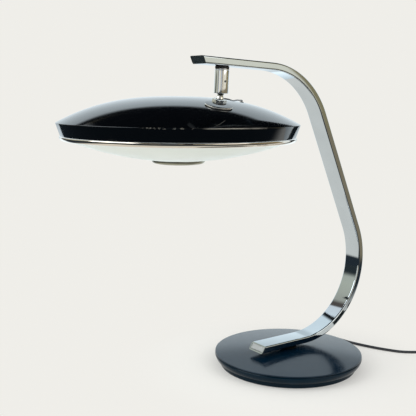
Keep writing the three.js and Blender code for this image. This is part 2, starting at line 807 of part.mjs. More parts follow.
function ballLiner() {
  const outer = sphereArc(linerOuter, linerFootAngle, linerTopAngle, linerSteps);
  const inner = sphereArc(ballRadius + seat, linerTopAngle, linerFootAngle, linerSteps);
  return turned([...outer, ...inner, outer[0]], middleSegments).translate(0, 0, ballZ);
}

function buildStem(frame) {
  const washer = ring(stemWasherRadius, boltRadius + seat, washerFootZ, washerTopZ, middleSegments);
  add(frame, 'stem_washer', washer, materials.rubber);
  const capRing = ring(stemRadius, boltRadius + seat, ringFootZ, ringTopZ, middleSegments);
  add(frame, 'stem_ring', capRing, materials.chrome);
  add(frame, 'stem_tube', stemTube(), materials.chrome);
  add(frame, 'stem_bolt', stemBolt(), materials.steel);
  const nutFoot = armWall + seat;
  const stemNut = nut(stemNutCorner, boltRadius + seat, nutFoot, nutFoot + stemNutHeight);
  add(frame, 'stem_nut', stemNut, materials.brass);
  add(frame, 'ball_spring', ballSpring(), materials.steel);
  add(frame, 'ball_seat', ballSeat(), materials.nylon);
  add(frame, 'set_screw', setScrew(), materials.iron);
  add(frame, 'ball_liner', ballLiner(), materials.nylon);
}

// Shade

const bandFootRadius = shadeRadius - bandDrawIn;
const bezelRadius = bandFootRadius + bezelOverhang;

function domeHeight(radius) {
  return domeRise * (1 - (radius / shadeRadius) ** domePower);
}

// A frame on the dome: its Z is the surface's normal, its X points down the slope.
function domeFrame(fromCentre, turn) {
  const slope = (domeRise * domePower * (fromCentre / shadeRadius) ** (domePower - 1)) / shadeRadius;
  const frame = new THREE.Group();
  const [x, y] = [fromCentre * Math.cos(turn), fromCentre * Math.sin(turn)];
  frame.position.set(x, y, domeHeight(fromCentre));
  frame.rotation.set(0, Math.atan(slope), turn, 'ZYX');
  frame.updateMatrix();
  return frame;
}

const neckFrame = domeFrame(shadeRadius * jointShare, 0);
const grommetFrame = domeFrame(shadeRadius * grommetShare, grommetTurn);

function shadeShell() {
  const outer = domeShares.map((share) => [shadeRadius * share, domeHeight(shadeRadius * share)]);
  const innerRadii = innerShares.map((share) => shadeRadius * share);
  const inner = innerRadii.map((radius) => [radius, domeHeight(radius) - shadeWall]);
  const foot = bandFootRadius;
  const profile = [
    ...outer, [shadeRadius, 0], [foot, -bandDepth], [foot - shadeWall, -bandDepth],
    [innerRadii[0] + shadeWall, -shadeWall], ...inner,
  ];
  const neckHole = disc(neckThreadRadius + slip, -neckTail, neckTail, smallSegments);
  const leadHole = disc(grommetWaist + seat, -grommetRadius, grommetRadius, smallSegments);
  neckHole.applyMatrix4(neckFrame.matrix);
  leadHole.applyMatrix4(grommetFrame.matrix);
  return cut(turned(profile, wideSegments), neckHole, leadHole);
}

// Heights of the bezel, the glass and the disc, below the crease
const bezelTop = -bandDepth - seat;
const bezelFoot = bezelTop - bezelHeight;
const bezelOpening = bezelRadius - bezelInset;
const glassRimFoot = bezelFoot + bezelWall + seat;
const glassRadius = bezelOpening - slip;

function bezelRing() {
  const drop = bezelTop - bezelFoot;
  const rounding = [];
  for (let k = 1; k <= bezelSteps; k += 1) {
    const angle = ((k / bezelSteps) * Math.PI) / 2;
    const inset = bezelInset * (1 - Math.cos(angle)) * (1 - bezelWall / bezelInset);
    rounding.push([bezelRadius - inset, bezelTop - bezelWall - (drop - bezelWall) * Math.sin(angle)]);
  }
  const innerWall = bezelOpening + glassRimWidth + slip;
  return turned([
    [innerWall, bezelTop], [bezelRadius - bezelWall / 2, bezelTop], [bezelRadius, bezelTop - bezelWall],
    ...rounding,
    [bezelOpening, bezelFoot], [bezelOpening, bezelFoot + bezelWall], [innerWall, bezelFoot + bezelWall],
    [innerWall, bezelTop],
  ], wideSegments);
}

function glassFoot(radius) {
  return glassRimFoot - glassDepth * (1 - (radius / glassRadius) ** glassPower);
}

function diffuserGlass() {
  const radii = [...glassShares.map((share) => glassRadius * share), glassHole];
  const lower = radii.map((radius) => [radius, glassFoot(radius)]);
  const upper = radii.slice(1).map((radius) => [radius, glassFoot(radius) + glassThickness]).reverse();
  const rim = glassRadius + glassRimWidth;
  return turned([
    [rim, glassRimFoot + glassThickness], [rim, glassRimFoot], ...lower, ...upper,
    [rim, glassRimFoot + glassThickness],
  ], wideSegments);
}

const discTop = glassFoot(discRadius) - discGap;
const discFoot = discTop - discDepth;
const bossTop = glassFoot(glassHole) - discGap;

function centreDisc() {
  const outer = discShares.map(([radius, depth]) => [discRadius * radius, discTop - discDepth * depth]);
  const inner = outer.slice(1).map(([radius, height]) => [radius - discWall, height + discWall]);
  const floor = discFoot + discWall;
  return turned([
    [0, discFoot], ...outer.reverse(), [discRadius - discWall, discTop], ...inner,
    [discBossRadius, floor], [discBossRadius, bossTop],
    [rodRadius + seat, bossTop], [rodRadius + seat, floor], [0, floor],
  ], discSegments);
}

// Heights of the cross bar and what stands on it
const barTop = -barDrop;
const bracketFoot = barTop + seat;
const bracketTop = bracketFoot + bracketThickness;
const holderAxis = barTop + holderAxisLift;

function crossBar() {
  const bandInner = shadeRadius - (bandDrawIn * (barDrop + crossBarThickness)) / bandDepth - shadeWall;
  const reach = Math.sqrt((bandInner - crossBarGap) ** 2 - (crossBarWidth / 2) ** 2);
  const bar = block(2 * reach, crossBarWidth, barTop - crossBarThickness, barTop);
  return cut(bar, disc(rodRadius + seat, -shadeRadius / 2, 0, smallSegments));
}

function holderBracket() {
  const plate = block(bracketWidth, 2 * bracketReach, bracketFoot, bracketTop);
  const tab = block(bracketWidth, bracketThickness, bracketFoot, bracketFoot + bracketTabHeight);
  const offset = bracketReach - bracketThickness / 2;
  const joined = join(plate, tab.clone().translate(0, offset, 0), tab.clone().translate(0, -offset, 0));
  return cut(joined, disc(rodRadius + seat, -shadeRadius / 2, 0, smallSegments));
}

// Holder and bulb, along +Z of their own frame
function lampHolder() {
  return turned([
    [0, 0], [holderRadius, 0], [holderRadius, holderLength], [holderBore, holderLength],
    [holderBore, holderFloor], [0, holderFloor],
  ], smallSegments);
}

function bulb() {
  const foot = holderFloor + seat;
  const capTop = foot + bulbCapLength;
  const centre = capTop + bulbNeckLength + bulbRadius * Math.cos(bulbShoulder);
  const globe = [];
  for (let k = 0; k < arcSteps; k += 1) {
    const angle = bulbShoulder + ((Math.PI - bulbShoulder) * k) / arcSteps;
    globe.push([bulbRadius * Math.sin(angle), centre - bulbRadius * Math.cos(angle)]);
  }
  return turned([
    [0, foot], [bulbCapRadius, foot], [bulbCapRadius, capTop], ...globe, [0, centre + bulbRadius],
  ], smallSegments);
}

function buildLamps(shade) {
  [1, -1].forEach((side, k) => {
    const frame = new THREE.Group();
    frame.position.set(0, side * (bracketReach + seat), holderAxis);
    frame.rotation.x = (-side * Math.PI) / 2;
    add(frame, `lamp_holder_${k + 1}`, lampHolder(), materials.porcelain);
    add(frame, `bulb_${k + 1}`, bulb(), materials.bulbGlass);
    shade.add(frame);
  });
}

function centreRod() {
  return disc(rodRadius, discFoot + discWall + seat, bracketTop + rodTopLength, smallSegments);
}

function terminalBlock() {
  const box = block(blockLength, blockWidth, barTop + seat, barTop + seat + blockHeight);
  return box.translate(blockFromAxis + blockLength / 2, 0, 0);
}

function innerLead() {
  const tail = new THREE.Vector3(0, 0, -neckTail - seat).applyMatrix4(neckFrame.matrix);
  const straight = new THREE.Vector3(0, 0, -neckTail - 3 * innerLeadRadius);
  straight.applyMatrix4(neckFrame.matrix);
  const onBar = barTop + seat + innerLeadRadius;
  const blockEnd = blockFromAxis + blockLength + seat;
  const run = tail.x - blockEnd;
  const onCrossBar = innerLeadShares.map(([share, lift]) => [blockEnd + run * share, 0, onBar + lift]);
  const line = smoothCurve([tail.toArray(), straight.toArray(), ...onCrossBar]);
  return tube(line, innerLeadRadius, innerLeadSides, innerLeadSteps);
}

// Neck with its ball, in the neck's frame: the origin is on the dome, the ball's centre is at neckDrop
function ballNeck() {
  const meets = Math.asin(neckRadius / ballRadius);
  const ball = sphereArc(ballRadius, meets, Math.PI - Math.asin(neckBore / ballRadius), arcSteps);
  const shank = neckNutLift + neckNutHeight;
  const body = turned([
    [neckBore, -neckTail], [neckThreadRadius, -neckTail], [neckThreadRadius, shank],
    [neckCollarRadius, shank + seat], [neckCollarRadius, neckDrop - neckCollarDrop],
    [neckRadius, neckDrop - neckWaistDrop],
    ...ball.map(([radius, height]) => [radius, neckDrop + height]), [neckBore, -neckTail],
  ], middleSegments);
  const holeRadius = headLeadRadius + seat;
  const hole = new THREE.CylinderGeometry(holeRadius, holeRadius, stemRadius, smallSegments);
  hole.rotateZ(Math.PI / 2).translate(stemRadius / 2, 0, neckDrop - headLeadDrop).rotateZ(headLeadTurn);
  return cut(body, hole);
}

function neckFlange() {
  const bore = neckThreadRadius + seat;
  const foot = seat + flangeSkirt;
  return turned([
    [bore, foot], [flangeRadius, seat], [flangeRadius, flangeThickness - flangeBevel / 2],
    [flangeRadius - flangeBevel, seat + flangeThickness], [bore, seat + flangeThickness], [bore, foot],
  ], discSegments);
}

function buildNeck(shade) {
  const bore = neckThreadRadius + seat;
  const frame = neckFrame;
  add(frame, 'ball_neck', ballNeck(), materials.chrome);
  const nutTop = neckNutLift + neckNutHeight;
  add(frame, 'neck_nut', nut(neckNutCorner, bore, neckNutLift, nutTop), materials.chrome);
  add(frame, 'neck_flange', neckFlange(), materials.chrome);
  const washerTop = -shadeWall - domeWasherSag - seat;
  const washerBottom = washerTop - domeWasherThickness;
  const washer = ring(domeWasherRadius, bore, washerBottom, washerTop, middleSegments);
  add(frame, 'dome_washer', washer, materials.steel);
  const domeNutTop = washerBottom - seat;
  const domeNut = nut(domeNutCorner, bore, domeNutTop - domeNutHeight, domeNutTop);
  add(frame, 'dome_nut', domeNut, materials.steel);
  shade.add(frame);
}

// The wire leaves the neck's side over the nut, lies on the dome and turns down into its grommet.
function headLead() {
  const alongNeck = (reach) => new THREE.Vector3(
    reach * Math.cos(headLeadTurn), reach * Math.sin(headLeadTurn), neckDrop - headLeadDrop,
  ).applyMatrix4(neckFrame.matrix);
  const overGrommet = (height) => new THREE.Vector3(0, 0, height).applyMatrix4(grommetFrame.matrix);
  const start = alongNeck(neckCollarRadius + seat);
  const out = alongNeck(2 * neckCollarRadius);
  const top = overGrommet(headLeadArch);
  const onDome = headLeadShares.map((share) => {
    const point = out.clone().lerp(top, share);
    return point.setZ(domeHeight(Math.hypot(point.x, point.y)) + headLeadLift);
  });
  const mouth = overGrommet(grommetLip + seat);
  const end = overGrommet(-shadeWall - grommetLip);
  const points = [start, out, ...onDome, top, mouth, end].map((point) => point.toArray());
  return tube(smoothCurve(points), headLeadRadius, headLeadSides, headLeadSteps);
}

function headGrommet() {
  const under = -shadeWall - seat;
  return turned([
    [grommetBore, under - grommetLip], [grommetRadius, under - grommetLip], [grommetRadius, under],
    [grommetWaist, under], [grommetWaist, seat], [grommetRadius, seat],
    [grommetRadius - grommetLip / 2, grommetLip], [grommetBore, grommetLip],
    [grommetBore, under - grommetLip],
  ], grommetSegments);
}

function buildShade(lamp, ball) {
  const shade = new THREE.Group();
  shade.rotation.z = shadeBearing + Math.PI;
  shade.updateMatrix();
  const ballInShade = new THREE.Vector3(0, 0, neckDrop).applyMatrix4(neckFrame.matrix);
  shade.position.copy(ball).sub(ballInShade.applyMatrix4(shade.matrix));
  add(shade, 'shade_shell', shadeShell(), materials.blackLacquer);
  add(shade, 'bezel_ring', bezelRing(), materials.chrome);
  add(shade, 'diffuser_glass', diffuserGlass(), materials.glass);
  add(shade, 'centre_disc', centreDisc(), materials.chrome);
  add(shade, 'centre_rod', centreRod(), materials.steel);
  add(shade, 'cross_bar', crossBar(), materials.steel);
  add(shade, 'holder_bracket', holderBracket(), materials.steel);
  add(shade, 'terminal_block', terminalBlock(), materials.porcelain);
  add(shade, 'inner_lead', innerLead(), materials.cable);
  const bore = rodRadius + seat;
  const topFoot = bracketTop + seat;
  add(shade, 'rod_top_nut', nut(rodNutCorner, bore, topFoot, topFoot + rodNutHeight), materials.steel);
  const lowerTop = barTop - crossBarThickness - seat;
  add(shade, 'rod_lower_nut', nut(rodNutCorner, bore, lowerTop - rodNutHeight, lowerTop), materials.steel);
  buildLamps(shade);
  buildNeck(shade);
  add(shade, 'head_lead', headLead(), materials.cable);
  add(grommetFrame, 'head_grommet', headGrommet(), materials.rubber);
  shade.add(grommetFrame);
  lamp.add(shade);
}

// Mains cord

const reliefTip = panShoulderRadius + reliefLength;

function fromBase(radius, height) {
  return [radius * Math.cos(reliefBearing), radius * Math.sin(reliefBearing), height];
}

// A point of the cord's layout on the table, given from where the cord leaves the strain relief.
function fromTip([x, y, z]) {
  const [tipX, tipY] = fromBase(reliefTip + seat, 0);
  return [tipX + x, tipY + y, z];
}

function cordRelief() {
  const wall = panRimRadius - panWall;
  const root = wall - seat - slip - shoulderLength;
  const taper = reliefTip - reliefLength / 2;
  const sleeve = turned([
    [0, root], [reliefRootRadius, root], [reliefRootRadius, taper], [reliefTipRadius, reliefTip],
    [0, reliefTip],
  ], smallSegments);
  const foot = feltThickness + panFloor + 2 * seat - reliefHeight;
  const shoulder = block(shoulderLength, shoulderWidth, foot, foot + shoulderHeight);
  shoulder.translate(root + shoulderLength / 2, 0, 0);
  const bore = disc(flexRadius + seat, root - overrun, reliefTip + overrun, smallSegments);
  const body = cut(join(sleeve.rotateY(Math.PI / 2), shoulder), bore.rotateY(Math.PI / 2));
  return body.translate(0, 0, reliefHeight).rotateZ(reliefBearing);
}

// The cable inside the base, from beside the hub to the tip of the strain relief.
function baseFlex() {
  const clear = hubRadius + panWall + weightHubGap + 2 * flexRadius;
  const curve = new THREE.LineCurve3(
    new THREE.Vector3(...fromBase(clear, reliefHeight)),
    new THREE.Vector3(...fromBase(reliefTip, reliefHeight)),
  );
  return tube(curve, flexRadius, baseFlexSides, baseFlexSteps);
}

// In-line switch, in its own frame: X along the cord, Z up from the table
function roundedBlock(length, width, corner, bottom, top) {
  const shape = roundedRectangle(THREE.Shape, length, width, corner);
  const options = { depth: top - bottom, bevelEnabled: false };
  return closed(new THREE.ExtrudeGeometry(shape, options).translate(0, 0, bottom));
}

function switchHalf(bottom, top, hollowFrom, hollowTo) {
  const outer = roundedBlock(switchLength, switchWidth, switchCorner, bottom, top);
  const [length, width] = [switchLength - 2 * switchEndWalls, switchWidth - 2 * switchWall];
  const hollow = roundedBlock(length, width, switchCorner - switchWall, hollowFrom, hollowTo);
  return cut(outer, hollow);
}

function switchLower() {
  return switchHalf(switchBase, switchSeam, switchBase + switchWall, switchSeam + overrun);
}

function switchUpper() {
  const top = switchHeight;
  const shell = switchHalf(switchSeam + seat, top, switchSeam - overrun, top - switchWall);
  const window = block(rockerLength + 2 * slip, rockerWidth + 2 * slip, switchSeam, top + overrun);
  return cut(shell, window);
}

function rockerPlace(geometry) {
  return geometry.rotateY(rockerTilt).translate(0, 0, switchHeight - rockerPinDrop);
}

function switchRocker() {
  const top = rockerPinDrop + rockerRise;
  const half = rockerLength / 2 - slip;
  const foot = top - rockerDepth;
  const outline = [
    [-half, foot + rockerDish], [0, foot], [half, foot + rockerDish], [half, top], [0, top - rockerDish],
    [-half, top],
  ];
  const bore = rockerPinRadius + seat;
  const pin = new THREE.CylinderGeometry(bore, bore, 2 * rockerWidth, smallSegments);
  return rockerPlace(cut(slab(outline, rockerWidth), pin));
}

function rockerPin() {
  const length = switchWidth - 2 * switchWall - 2 * seat;
  const pin = new THREE.CylinderGeometry(rockerPinRadius, rockerPinRadius, length, smallSegments);
  return closed(pin.translate(0, 0, switchHeight - rockerPinDrop));
}

const switchCentre = fromTip([...switchAt, 0]);

function buildSwitch(lamp) {
  const frame = new THREE.Group();
  frame.position.set(...switchCentre);
  frame.rotation.z = switchHeading;
  add(frame, 'switch_lower', switchLower(), materials.blackPlastic);
  add(frame, 'switch_upper', switchUpper(), materials.blackPlastic);
  add(frame, 'switch_rocker', switchRocker(), materials.blackPlastic);
  add(frame, 'rocker_pin', rockerPin(), materials.steel);
  lamp.add(frame);
}

// The coil: loops spiral in and out again in layers, then the last loop comes down outside them.
const coilOuter = coilMiddleRadius + (coilLayerTurns * coilPitch) / 2;
const coilLayered = coilLayers * coilLayerTurns;
const coilTurns = coilLayered + coilEndTurns;
const coilFoot = coilBottom + cordRadius;
const [coilX, coilY] = fromTip([farEnd[0] + seat + 2 * cordRadius, farEnd[1] + coilOuter, 0]);
const plugAxis = plugHeight / 2 + seat;

function smooth(share) {
  const s = Math.min(Math.max(share, 0), 1);
  return s * s * (3 - 2 * s);
}

function coilPoint(turns) {
  const layer = Math.min(Math.floor(turns / coilLayerTurns), coilLayers - 1);
  const within = turns - layer * coilLayerTurns;
  const inwards = layer % 2 === 0 ? within : coilLayerTurns - within;
  let radius = coilOuter - coilPitch * Math.max(inwards, 0);
  let height = coilFoot;
  for (let k = 1; k < coilLayers; k += 1) {
    height += coilPitch * smooth((turns - k * coilLayerTurns) * 2 + 1 / 2);
  }
  if (turns > coilLayered) {
    const share = (turns - coilLayered) / coilEndTurns;
    radius = coilOuter + coilPitch * coilEndPitches * smooth(share / coilOutShare);
    height += (plugAxis - height) * smooth((share - coilDownFrom) / (1 - coilDownFrom));
  }
  const angle = coilStart + 2 * Math.PI * turns;
  return new THREE.Vector3(coilX + radius * Math.cos(angle), coilY + radius * Math.sin(angle), height);
}

function coilPath() {
  const count = Math.round(coilTurns * coilTurnSteps);
  const points = [];
  for (let k = 0; k <= count; k += 1) points.push(coilPoint((coilTurns * k) / count));
  const lead = (from, to) => {
    const along = to.clone().sub(from).setZ(0).normalize();
    return to.clone().addScaledVector(along, 2 * cordRadius);
  };
  points.unshift(lead(points[1], points[0]));
  points.push(lead(points[points.length - 2], points[points.length - 1]));
  return points;
}

// The least gap between loops of the coil, measured between points more than half a turn apart.
function leastGap(points) {
  let least = Infinity;
  for (let i = 0; i < points.length; i += 1) {
    for (let j = i + coilTurnSteps / 2; j < points.length; j += 1) {
      least = Math.min(least, points[i].distanceTo(points[j]) - 2 * cordRadius);
    }
  }
  return least;
}

// A tube of flat-ended rings, one at each point of its path.
function ringTube(points, radius, sides) {
  const positions = [];
  const up = new THREE.Vector3(0, 0, 1);
  points.forEach((point, k) => {
    const before = points[Math.max(k - 1, 0)];
    const after = points[Math.min(k + 1, points.length - 1)];
    const along = after.clone().sub(before).normalize();
    const side = new THREE.Vector3().crossVectors(up, along).normalize();
    const top = new THREE.Vector3().crossVectors(along, side);
    for (let n = 0; n < sides; n += 1) {
      const angle = (2 * Math.PI * n) / sides;
      const offset = side.clone().multiplyScalar(radius * Math.cos(angle));
      positions.push(...point.clone().add(offset).addScaledVector(top, radius * Math.sin(angle)).toArray());
    }
  });
  const index = [];
  for (let k = 0; k + 1 < points.length; k += 1) {
    for (let n = 0; n < sides; n += 1) {
      const [a, b] = [k * sides + n, k * sides + ((n + 1) % sides)];
      index.push(a, b, a + sides, b, b + sides, a + sides);
    }
  }
  const last = (points.length - 1) * sides;
  for (let n = 1; n + 1 < sides; n += 1) index.push(0, n + 1, n, last, last + n, last + n + 1);
  const geometry = new THREE.BufferGeometry();
  geometry.setAttribute('position', new THREE.Float32BufferAttribute(positions, 3));
  geometry.setIndex(index);
  return closed(geometry);
}

// A band round the whole bundle of loops.
function coilTie() {
  const gap = cordRadius + seat;
  const inner = coilOuter - coilLayerTurns * coilPitch - gap;
  const outer = coilOuter + gap;
  const foot = coilFoot - gap;
  const top = coilFoot + (coilLayers - 1) * coilPitch + gap;
  const outline = new THREE.Shape([
    new THREE.Vector2(inner - tieWall, foot - tieWall), new THREE.Vector2(outer + tieWall, foot - tieWall),
    new THREE.Vector2(outer + tieWall, top + tieWall), new THREE.Vector2(inner - tieWall, top + tieWall),
  ]);
  outline.holes.push(new THREE.Path([
    new THREE.Vector2(inner, foot), new THREE.Vector2(inner, top), new THREE.Vector2(outer, top),
    new THREE.Vector2(outer, foot),
  ]));
  const band = new THREE.ExtrudeGeometry(outline, { depth: tieWidth, bevelEnabled: false });
  band.rotateX(Math.PI / 2).translate(0, tieWidth / 2, 0).rotateZ(tieBearing);
  return closed(band.translate(coilX, coilY, 0));
}

// Plug, in its own frame: X along the cord towards the pins, Z = 0 at the plug's axis
function plugBody() {
  const nose = plugBodyLength - plugNose;
  const half = plugWidth / 2;
  const outline = new THREE.Shape([
    new THREE.Vector2(0, -plugTail), new THREE.Vector2(nose / 2, -plugWaist), new THREE.Vector2(nose, -half),
    new THREE.Vector2(plugBodyLength, -half), new THREE.Vector2(plugBodyLength, half),
    new THREE.Vector2(nose, half), new THREE.Vector2(nose / 2, plugWaist), new THREE.Vector2(0, plugTail),
  ]);
  const body = new THREE.ExtrudeGeometry(outline, { depth: plugHeight, bevelEnabled: false });
  body.translate(0, 0, -plugHeight / 2);
  const holes = [1, -1].map((side) => {
    const hole = new THREE.CylinderGeometry(pinRadius + seat, pinRadius + seat, plugNose, pinSides);
    return hole.rotateZ(Math.PI / 2).translate(plugBodyLength, (side * pinSpacing) / 2, 0);
  });
  return cut(closed(body), ...holes);
}

function plugPin(side) {
  const inside = plugNose / 2 - seat;
  const pin = new THREE.CylinderGeometry(pinRadius, pinRadius, inside + pinLength, pinSides);
  const middle = plugBodyLength + (pinLength - inside) / 2;
  return closed(pin.rotateZ(Math.PI / 2).translate(middle, (side * pinSpacing) / 2, 0));
}

function buildCoilAndPlug(lamp) {
  const path = coilPath();
  console.log(`least gap between the coil's loops: ${leastGap(path).toFixed(2)} mm`);
  add(lamp, 'cord_coil', ringTube(path, cordRadius, coilSides), materials.cable);
  add(lamp, 'coil_tie', coilTie(), materials.cable);
  const [before, end] = path.slice(-2);
  const along = end.clone().sub(before).setZ(0).normalize();
  const plug = new THREE.Group();
  plug.rotation.z = Math.atan2(along.y, along.x);
  plug.position.copy(end).addScaledVector(along, seat);
  add(plug, 'plug_body', plugBody(), materials.blackPlastic);
  add(plug, 'plug_pin_1', plugPin(1), materials.brass);
  add(plug, 'plug_pin_2', plugPin(-1), materials.brass);
  lamp.add(plug);
}

// A point on the cord's line at one end of the switch: side is -1 towards the base, 1 towards the coil.
function switchPoint(side, lead) {
  const reach = side * (switchLength / 2 + seat + lead);
  const [x, y] = switchCentre;
  return [x + reach * Math.cos(switchHeading), y + reach * Math.sin(switchHeading), switchCordHeight];
}

function buildCord(lamp) {
  add(lamp, 'cord_relief', cordRelief(), materials.rubber);
  add(lamp, 'base_flex', baseFlex(), materials.cable);
  const near = smoothCurve([
    fromBase(reliefTip + seat, reliefHeight), ...nearRoute.map(fromTip), switchPoint(-1, switchLead),
    switchPoint(-1, 0),
  ]);
  add(lamp, 'mains_cord_near', tube(near, cordRadius, cordSides, nearSteps), materials.cable);
  buildSwitch(lamp);
  const coilMouth = [...farRoute, farEnd].map(fromTip);
  const far = smoothCurve([switchPoint(1, 0), switchPoint(1, switchLead), ...coilMouth]);
  add(lamp, 'mains_cord_far', tube(far, cordRadius, cordSides, farSteps), materials.cable);
  buildCoilAndPlug(lamp);
  const coilLength = coilTurns * 2 * Math.PI * coilMiddleRadius;
  const total = near.getLength() + switchLength + far.getLength() + coilLength;
  console.log(`mains cord from the base to the plug: ${total.toFixed(0)} mm`);
}

// The whole lamp

const lamp = new THREE.Group();
buildBase(lamp);
buildArm(lamp);
const stemFrame = barFrame(stemAlong(), armThickness / 2);
buildStem(stemFrame);
lamp.add(stemFrame);
buildShade(lamp, new THREE.Vector3(0, 0, ballZ).applyMatrix4(stemFrame.matrix));
buildCord(lamp);

export default lamp;
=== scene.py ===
# Desk lamp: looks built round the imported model, in its frame.
# Sizes are in millimetres and are the part's own; MM turns them into Blender's metres. The origin is on
# the table under the middle of the base, +Z is up and the arm lies in the XZ plane.

import json
import math

import bmesh
import bpy
from mathutils import Matrix, Vector


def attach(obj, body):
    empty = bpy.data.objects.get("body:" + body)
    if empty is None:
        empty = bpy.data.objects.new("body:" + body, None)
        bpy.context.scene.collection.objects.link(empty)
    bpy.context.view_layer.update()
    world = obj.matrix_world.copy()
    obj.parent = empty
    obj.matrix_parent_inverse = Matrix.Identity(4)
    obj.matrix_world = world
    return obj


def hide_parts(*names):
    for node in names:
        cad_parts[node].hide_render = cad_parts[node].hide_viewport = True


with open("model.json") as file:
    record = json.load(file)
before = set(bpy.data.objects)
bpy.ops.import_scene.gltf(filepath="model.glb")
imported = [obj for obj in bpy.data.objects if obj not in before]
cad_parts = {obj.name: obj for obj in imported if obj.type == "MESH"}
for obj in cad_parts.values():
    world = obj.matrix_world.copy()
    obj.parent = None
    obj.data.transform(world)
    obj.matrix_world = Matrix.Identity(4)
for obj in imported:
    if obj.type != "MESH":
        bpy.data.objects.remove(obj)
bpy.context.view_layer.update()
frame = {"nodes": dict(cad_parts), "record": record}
nodes = frame["nodes"]

MM = 0.001
SEAT = 0.3  # gap between pieces that rest on each other
SLIP = 0.5  # gap round a piece that passes through another
ROUND = 72  # steps round a small turned piece
WIDE = 192  # steps round the base and the shade
THIN = 40  # steps round the cord's sleeve and the lead's ring
HOLE = 32  # steps round a hole
LEAD_HOLE = 24  # steps round a hole for the thin lead
OVERRUN = 1  # how far a cutter starts outside what it cuts
SHARP = math.radians(32)  # edges with a greater turn are left sharp
ROUNDING_SHARE = 0.45  # the most of an outline's side that the rounding of one corner takes
ROUNDING_STEPS = 4
CORNER_STEPS = 5  # round each corner of the arm's section

# Base
BASE_RADIUS = 104
BASE_EDGE = 19.4  # upper edge of the top plate above the table
BASE_CROWN = 5.6
PLATE = 1.5
PLATE_STEPS = 40
PLATE_EDGE = 0.45  # each EDGE is how far from a corner its rounding begins
FELT = 1.5
FELT_EDGE = 0.5
PAN_RADIUS = BASE_RADIUS - 7.9
FELT_RADIUS = PAN_RADIUS - 2.6
PAN_FLARE = 0.5
PAN_LIFT = 0.9
PAN_SHOULDER = 8.1
PAN_SHOULDER_RADIUS = PAN_RADIUS + PAN_FLARE
PAN_RIM = 12
PAN_RIM_RADIUS = PAN_SHOULDER_RADIUS - 1.4
PAN_WALL = 1.5
PAN_FLOOR = 1.2
PAN_EDGE = 0.4
HUB_RADIUS = 17
HUB_RISE = 5.6
# The band's outside from the plate to its foot: how far outside the base's radius, and height
BAND = [(-0.4, 17.3), (0.25, 16.3), (0.3, 15.2), (-0.1, 13.4), (-1.1, 11.2), (-2.4, 9.2), (-3.2, 8.4)]
BAND_WALL = 1.6
BAND_LIP = 1.3
BAND_EDGE = 0.3
PIVOT_RADIUS = 5
SPACER_RADIUS = 11.8
SPACER_WAIST = 0.7
SPACER_WAIST_SHARES = (0.4, 0.6)
SPACER_EDGE = 0.5

# Arm
ARM_WIDTH = 28
ARM_THICKNESS = 9.6
ARM_WALL = 1.4
ARM_CORNER = 2
ARM_INNER_CORNER = ARM_CORNER / 4
FOOT_X = -60.9  # lower edge of the foot's end
FOOT_GAP = 4.9
FOOT_SLANT = 6.7
FOOT_RUN = 82.5
BEND_RADIUS = 108.4
LEAN_HEADING = math.radians(114.7)
LEAN_RUN = 184.2
BAR_HEADING = math.radians(177.6)
BAR_RUN = 115
RUN_STEPS = 6  # the fewest rings in each run of the arm
BEND_STEP = 1.5  # degrees between rings
END_ROOM = 1  # between its slanted ends and the next ring
CAP_LENGTH = 1.4
CAP_GAP = 0.2
CAP_EDGE = (0.35, 0.5)  # back from the face, and in from the sides
TIP_SLANT = 4.9
CAP_SEAM_SLANT = 4.4
PLUG_LENGTH = 9
PLUG_RECESS = 0.4
PLUG_CORNER = 0.6
PLUG_EDGE = (0.4, 0.5)
BUSH_RADIUS = PIVOT_RADIUS + 1.4

# Stem, downwards from the arm's underside
STEM_FROM_BEND = 74.1
STEM_RADIUS = 9.25
STEM_BORE = 7.25
STEM_ROOF = 2.4
BOLT_RADIUS = 5
WASHER_RADIUS = 8.9
WASHER = 3.1
WASHER_EDGE = 0.4
STEM_RING = 1.5
STEM_RING_EDGE = 0.45
STEM_LENGTH = 28.8
STEM_EDGE = 0.5
BALL_LIFT = 3.5
POCKET_RADIUS = 7.35
LIP = 1.4
SCREW_BEARING = math.radians(-95.5)
SCREW_DROP = 14
SCREW_HOLE = 1.6

# Neck, upwards from the dome's surface along its normal
BALL_RADIUS = 6.4
BALL_STEPS = 24
NECK_RADIUS = 4
NECK_BORE = 2.2
COLLAR_RADIUS = 5.2
NECK_DROP = 19.9
WAIST_DROP = 7.4
COLLAR_DROP = 9.5
THREAD_RADIUS = 4.7
NECK_TAIL = 11.5
NECK_EDGE = 0.5
NUT_SIDES = 6
NUT_SIDE_STEPS = 12
NUT_CORNER = 9.4
NUT_LIFT = 2.8
NUT_HEIGHT = 6
NUT_CONE = math.radians(30)
NUT_RIM = 0.05  # the cone's least depth, at the middle of a flat
FLANGE_RADIUS = 18
FLANGE = 1.7
FLANGE_HOLLOW = 0.35  # of its underside, towards the middle
FLANGE_EDGE = 0.12
FLANGE_TOP_COSINE = 0.98  # faces whose normal is nearer to its axis than this are its top

# Shade: heights are from the crease between the dome and its band
SHADE_RADIUS = 170
DOME_RISE = 37.5
DOME_POWER = 2.55
DOME_STEPS = 72
DOME_CROWDING = 1.6  # above 1, its rings lie closer together towards the crease
CREASE = 0.5
CREASE_STEPS = 6
SHADE_WALL = 1.2
BAND_DEPTH = 17.8
BAND_FOOT_RADIUS = SHADE_RADIUS - 6.2
BAND_FOOT_EDGE = 0.4
BAND_STEPS = 6
JOINT_FROM_CENTRE = SHADE_RADIUS * 0.63
SHADE_BEARING = math.radians(84.5)
BEZEL_RADIUS = BAND_FOOT_RADIUS + 1.6
BEZEL_HEIGHT = 6.2
BEZEL_INSET = 7.9
BEZEL_WALL = 1
BEZEL_STEPS = 16
BEZEL_EDGE = 0.35
GLASS_RIM = 4
GLASS = 3
GLASS_DEPTH = 29.6
GLASS_POWER = 2.05
GLASS_HOLE = 4
GLASS_STEPS = 48
GLASS_EDGE = 0.5
DISC_RADIUS = 37.8
DISC_DEPTH = 6
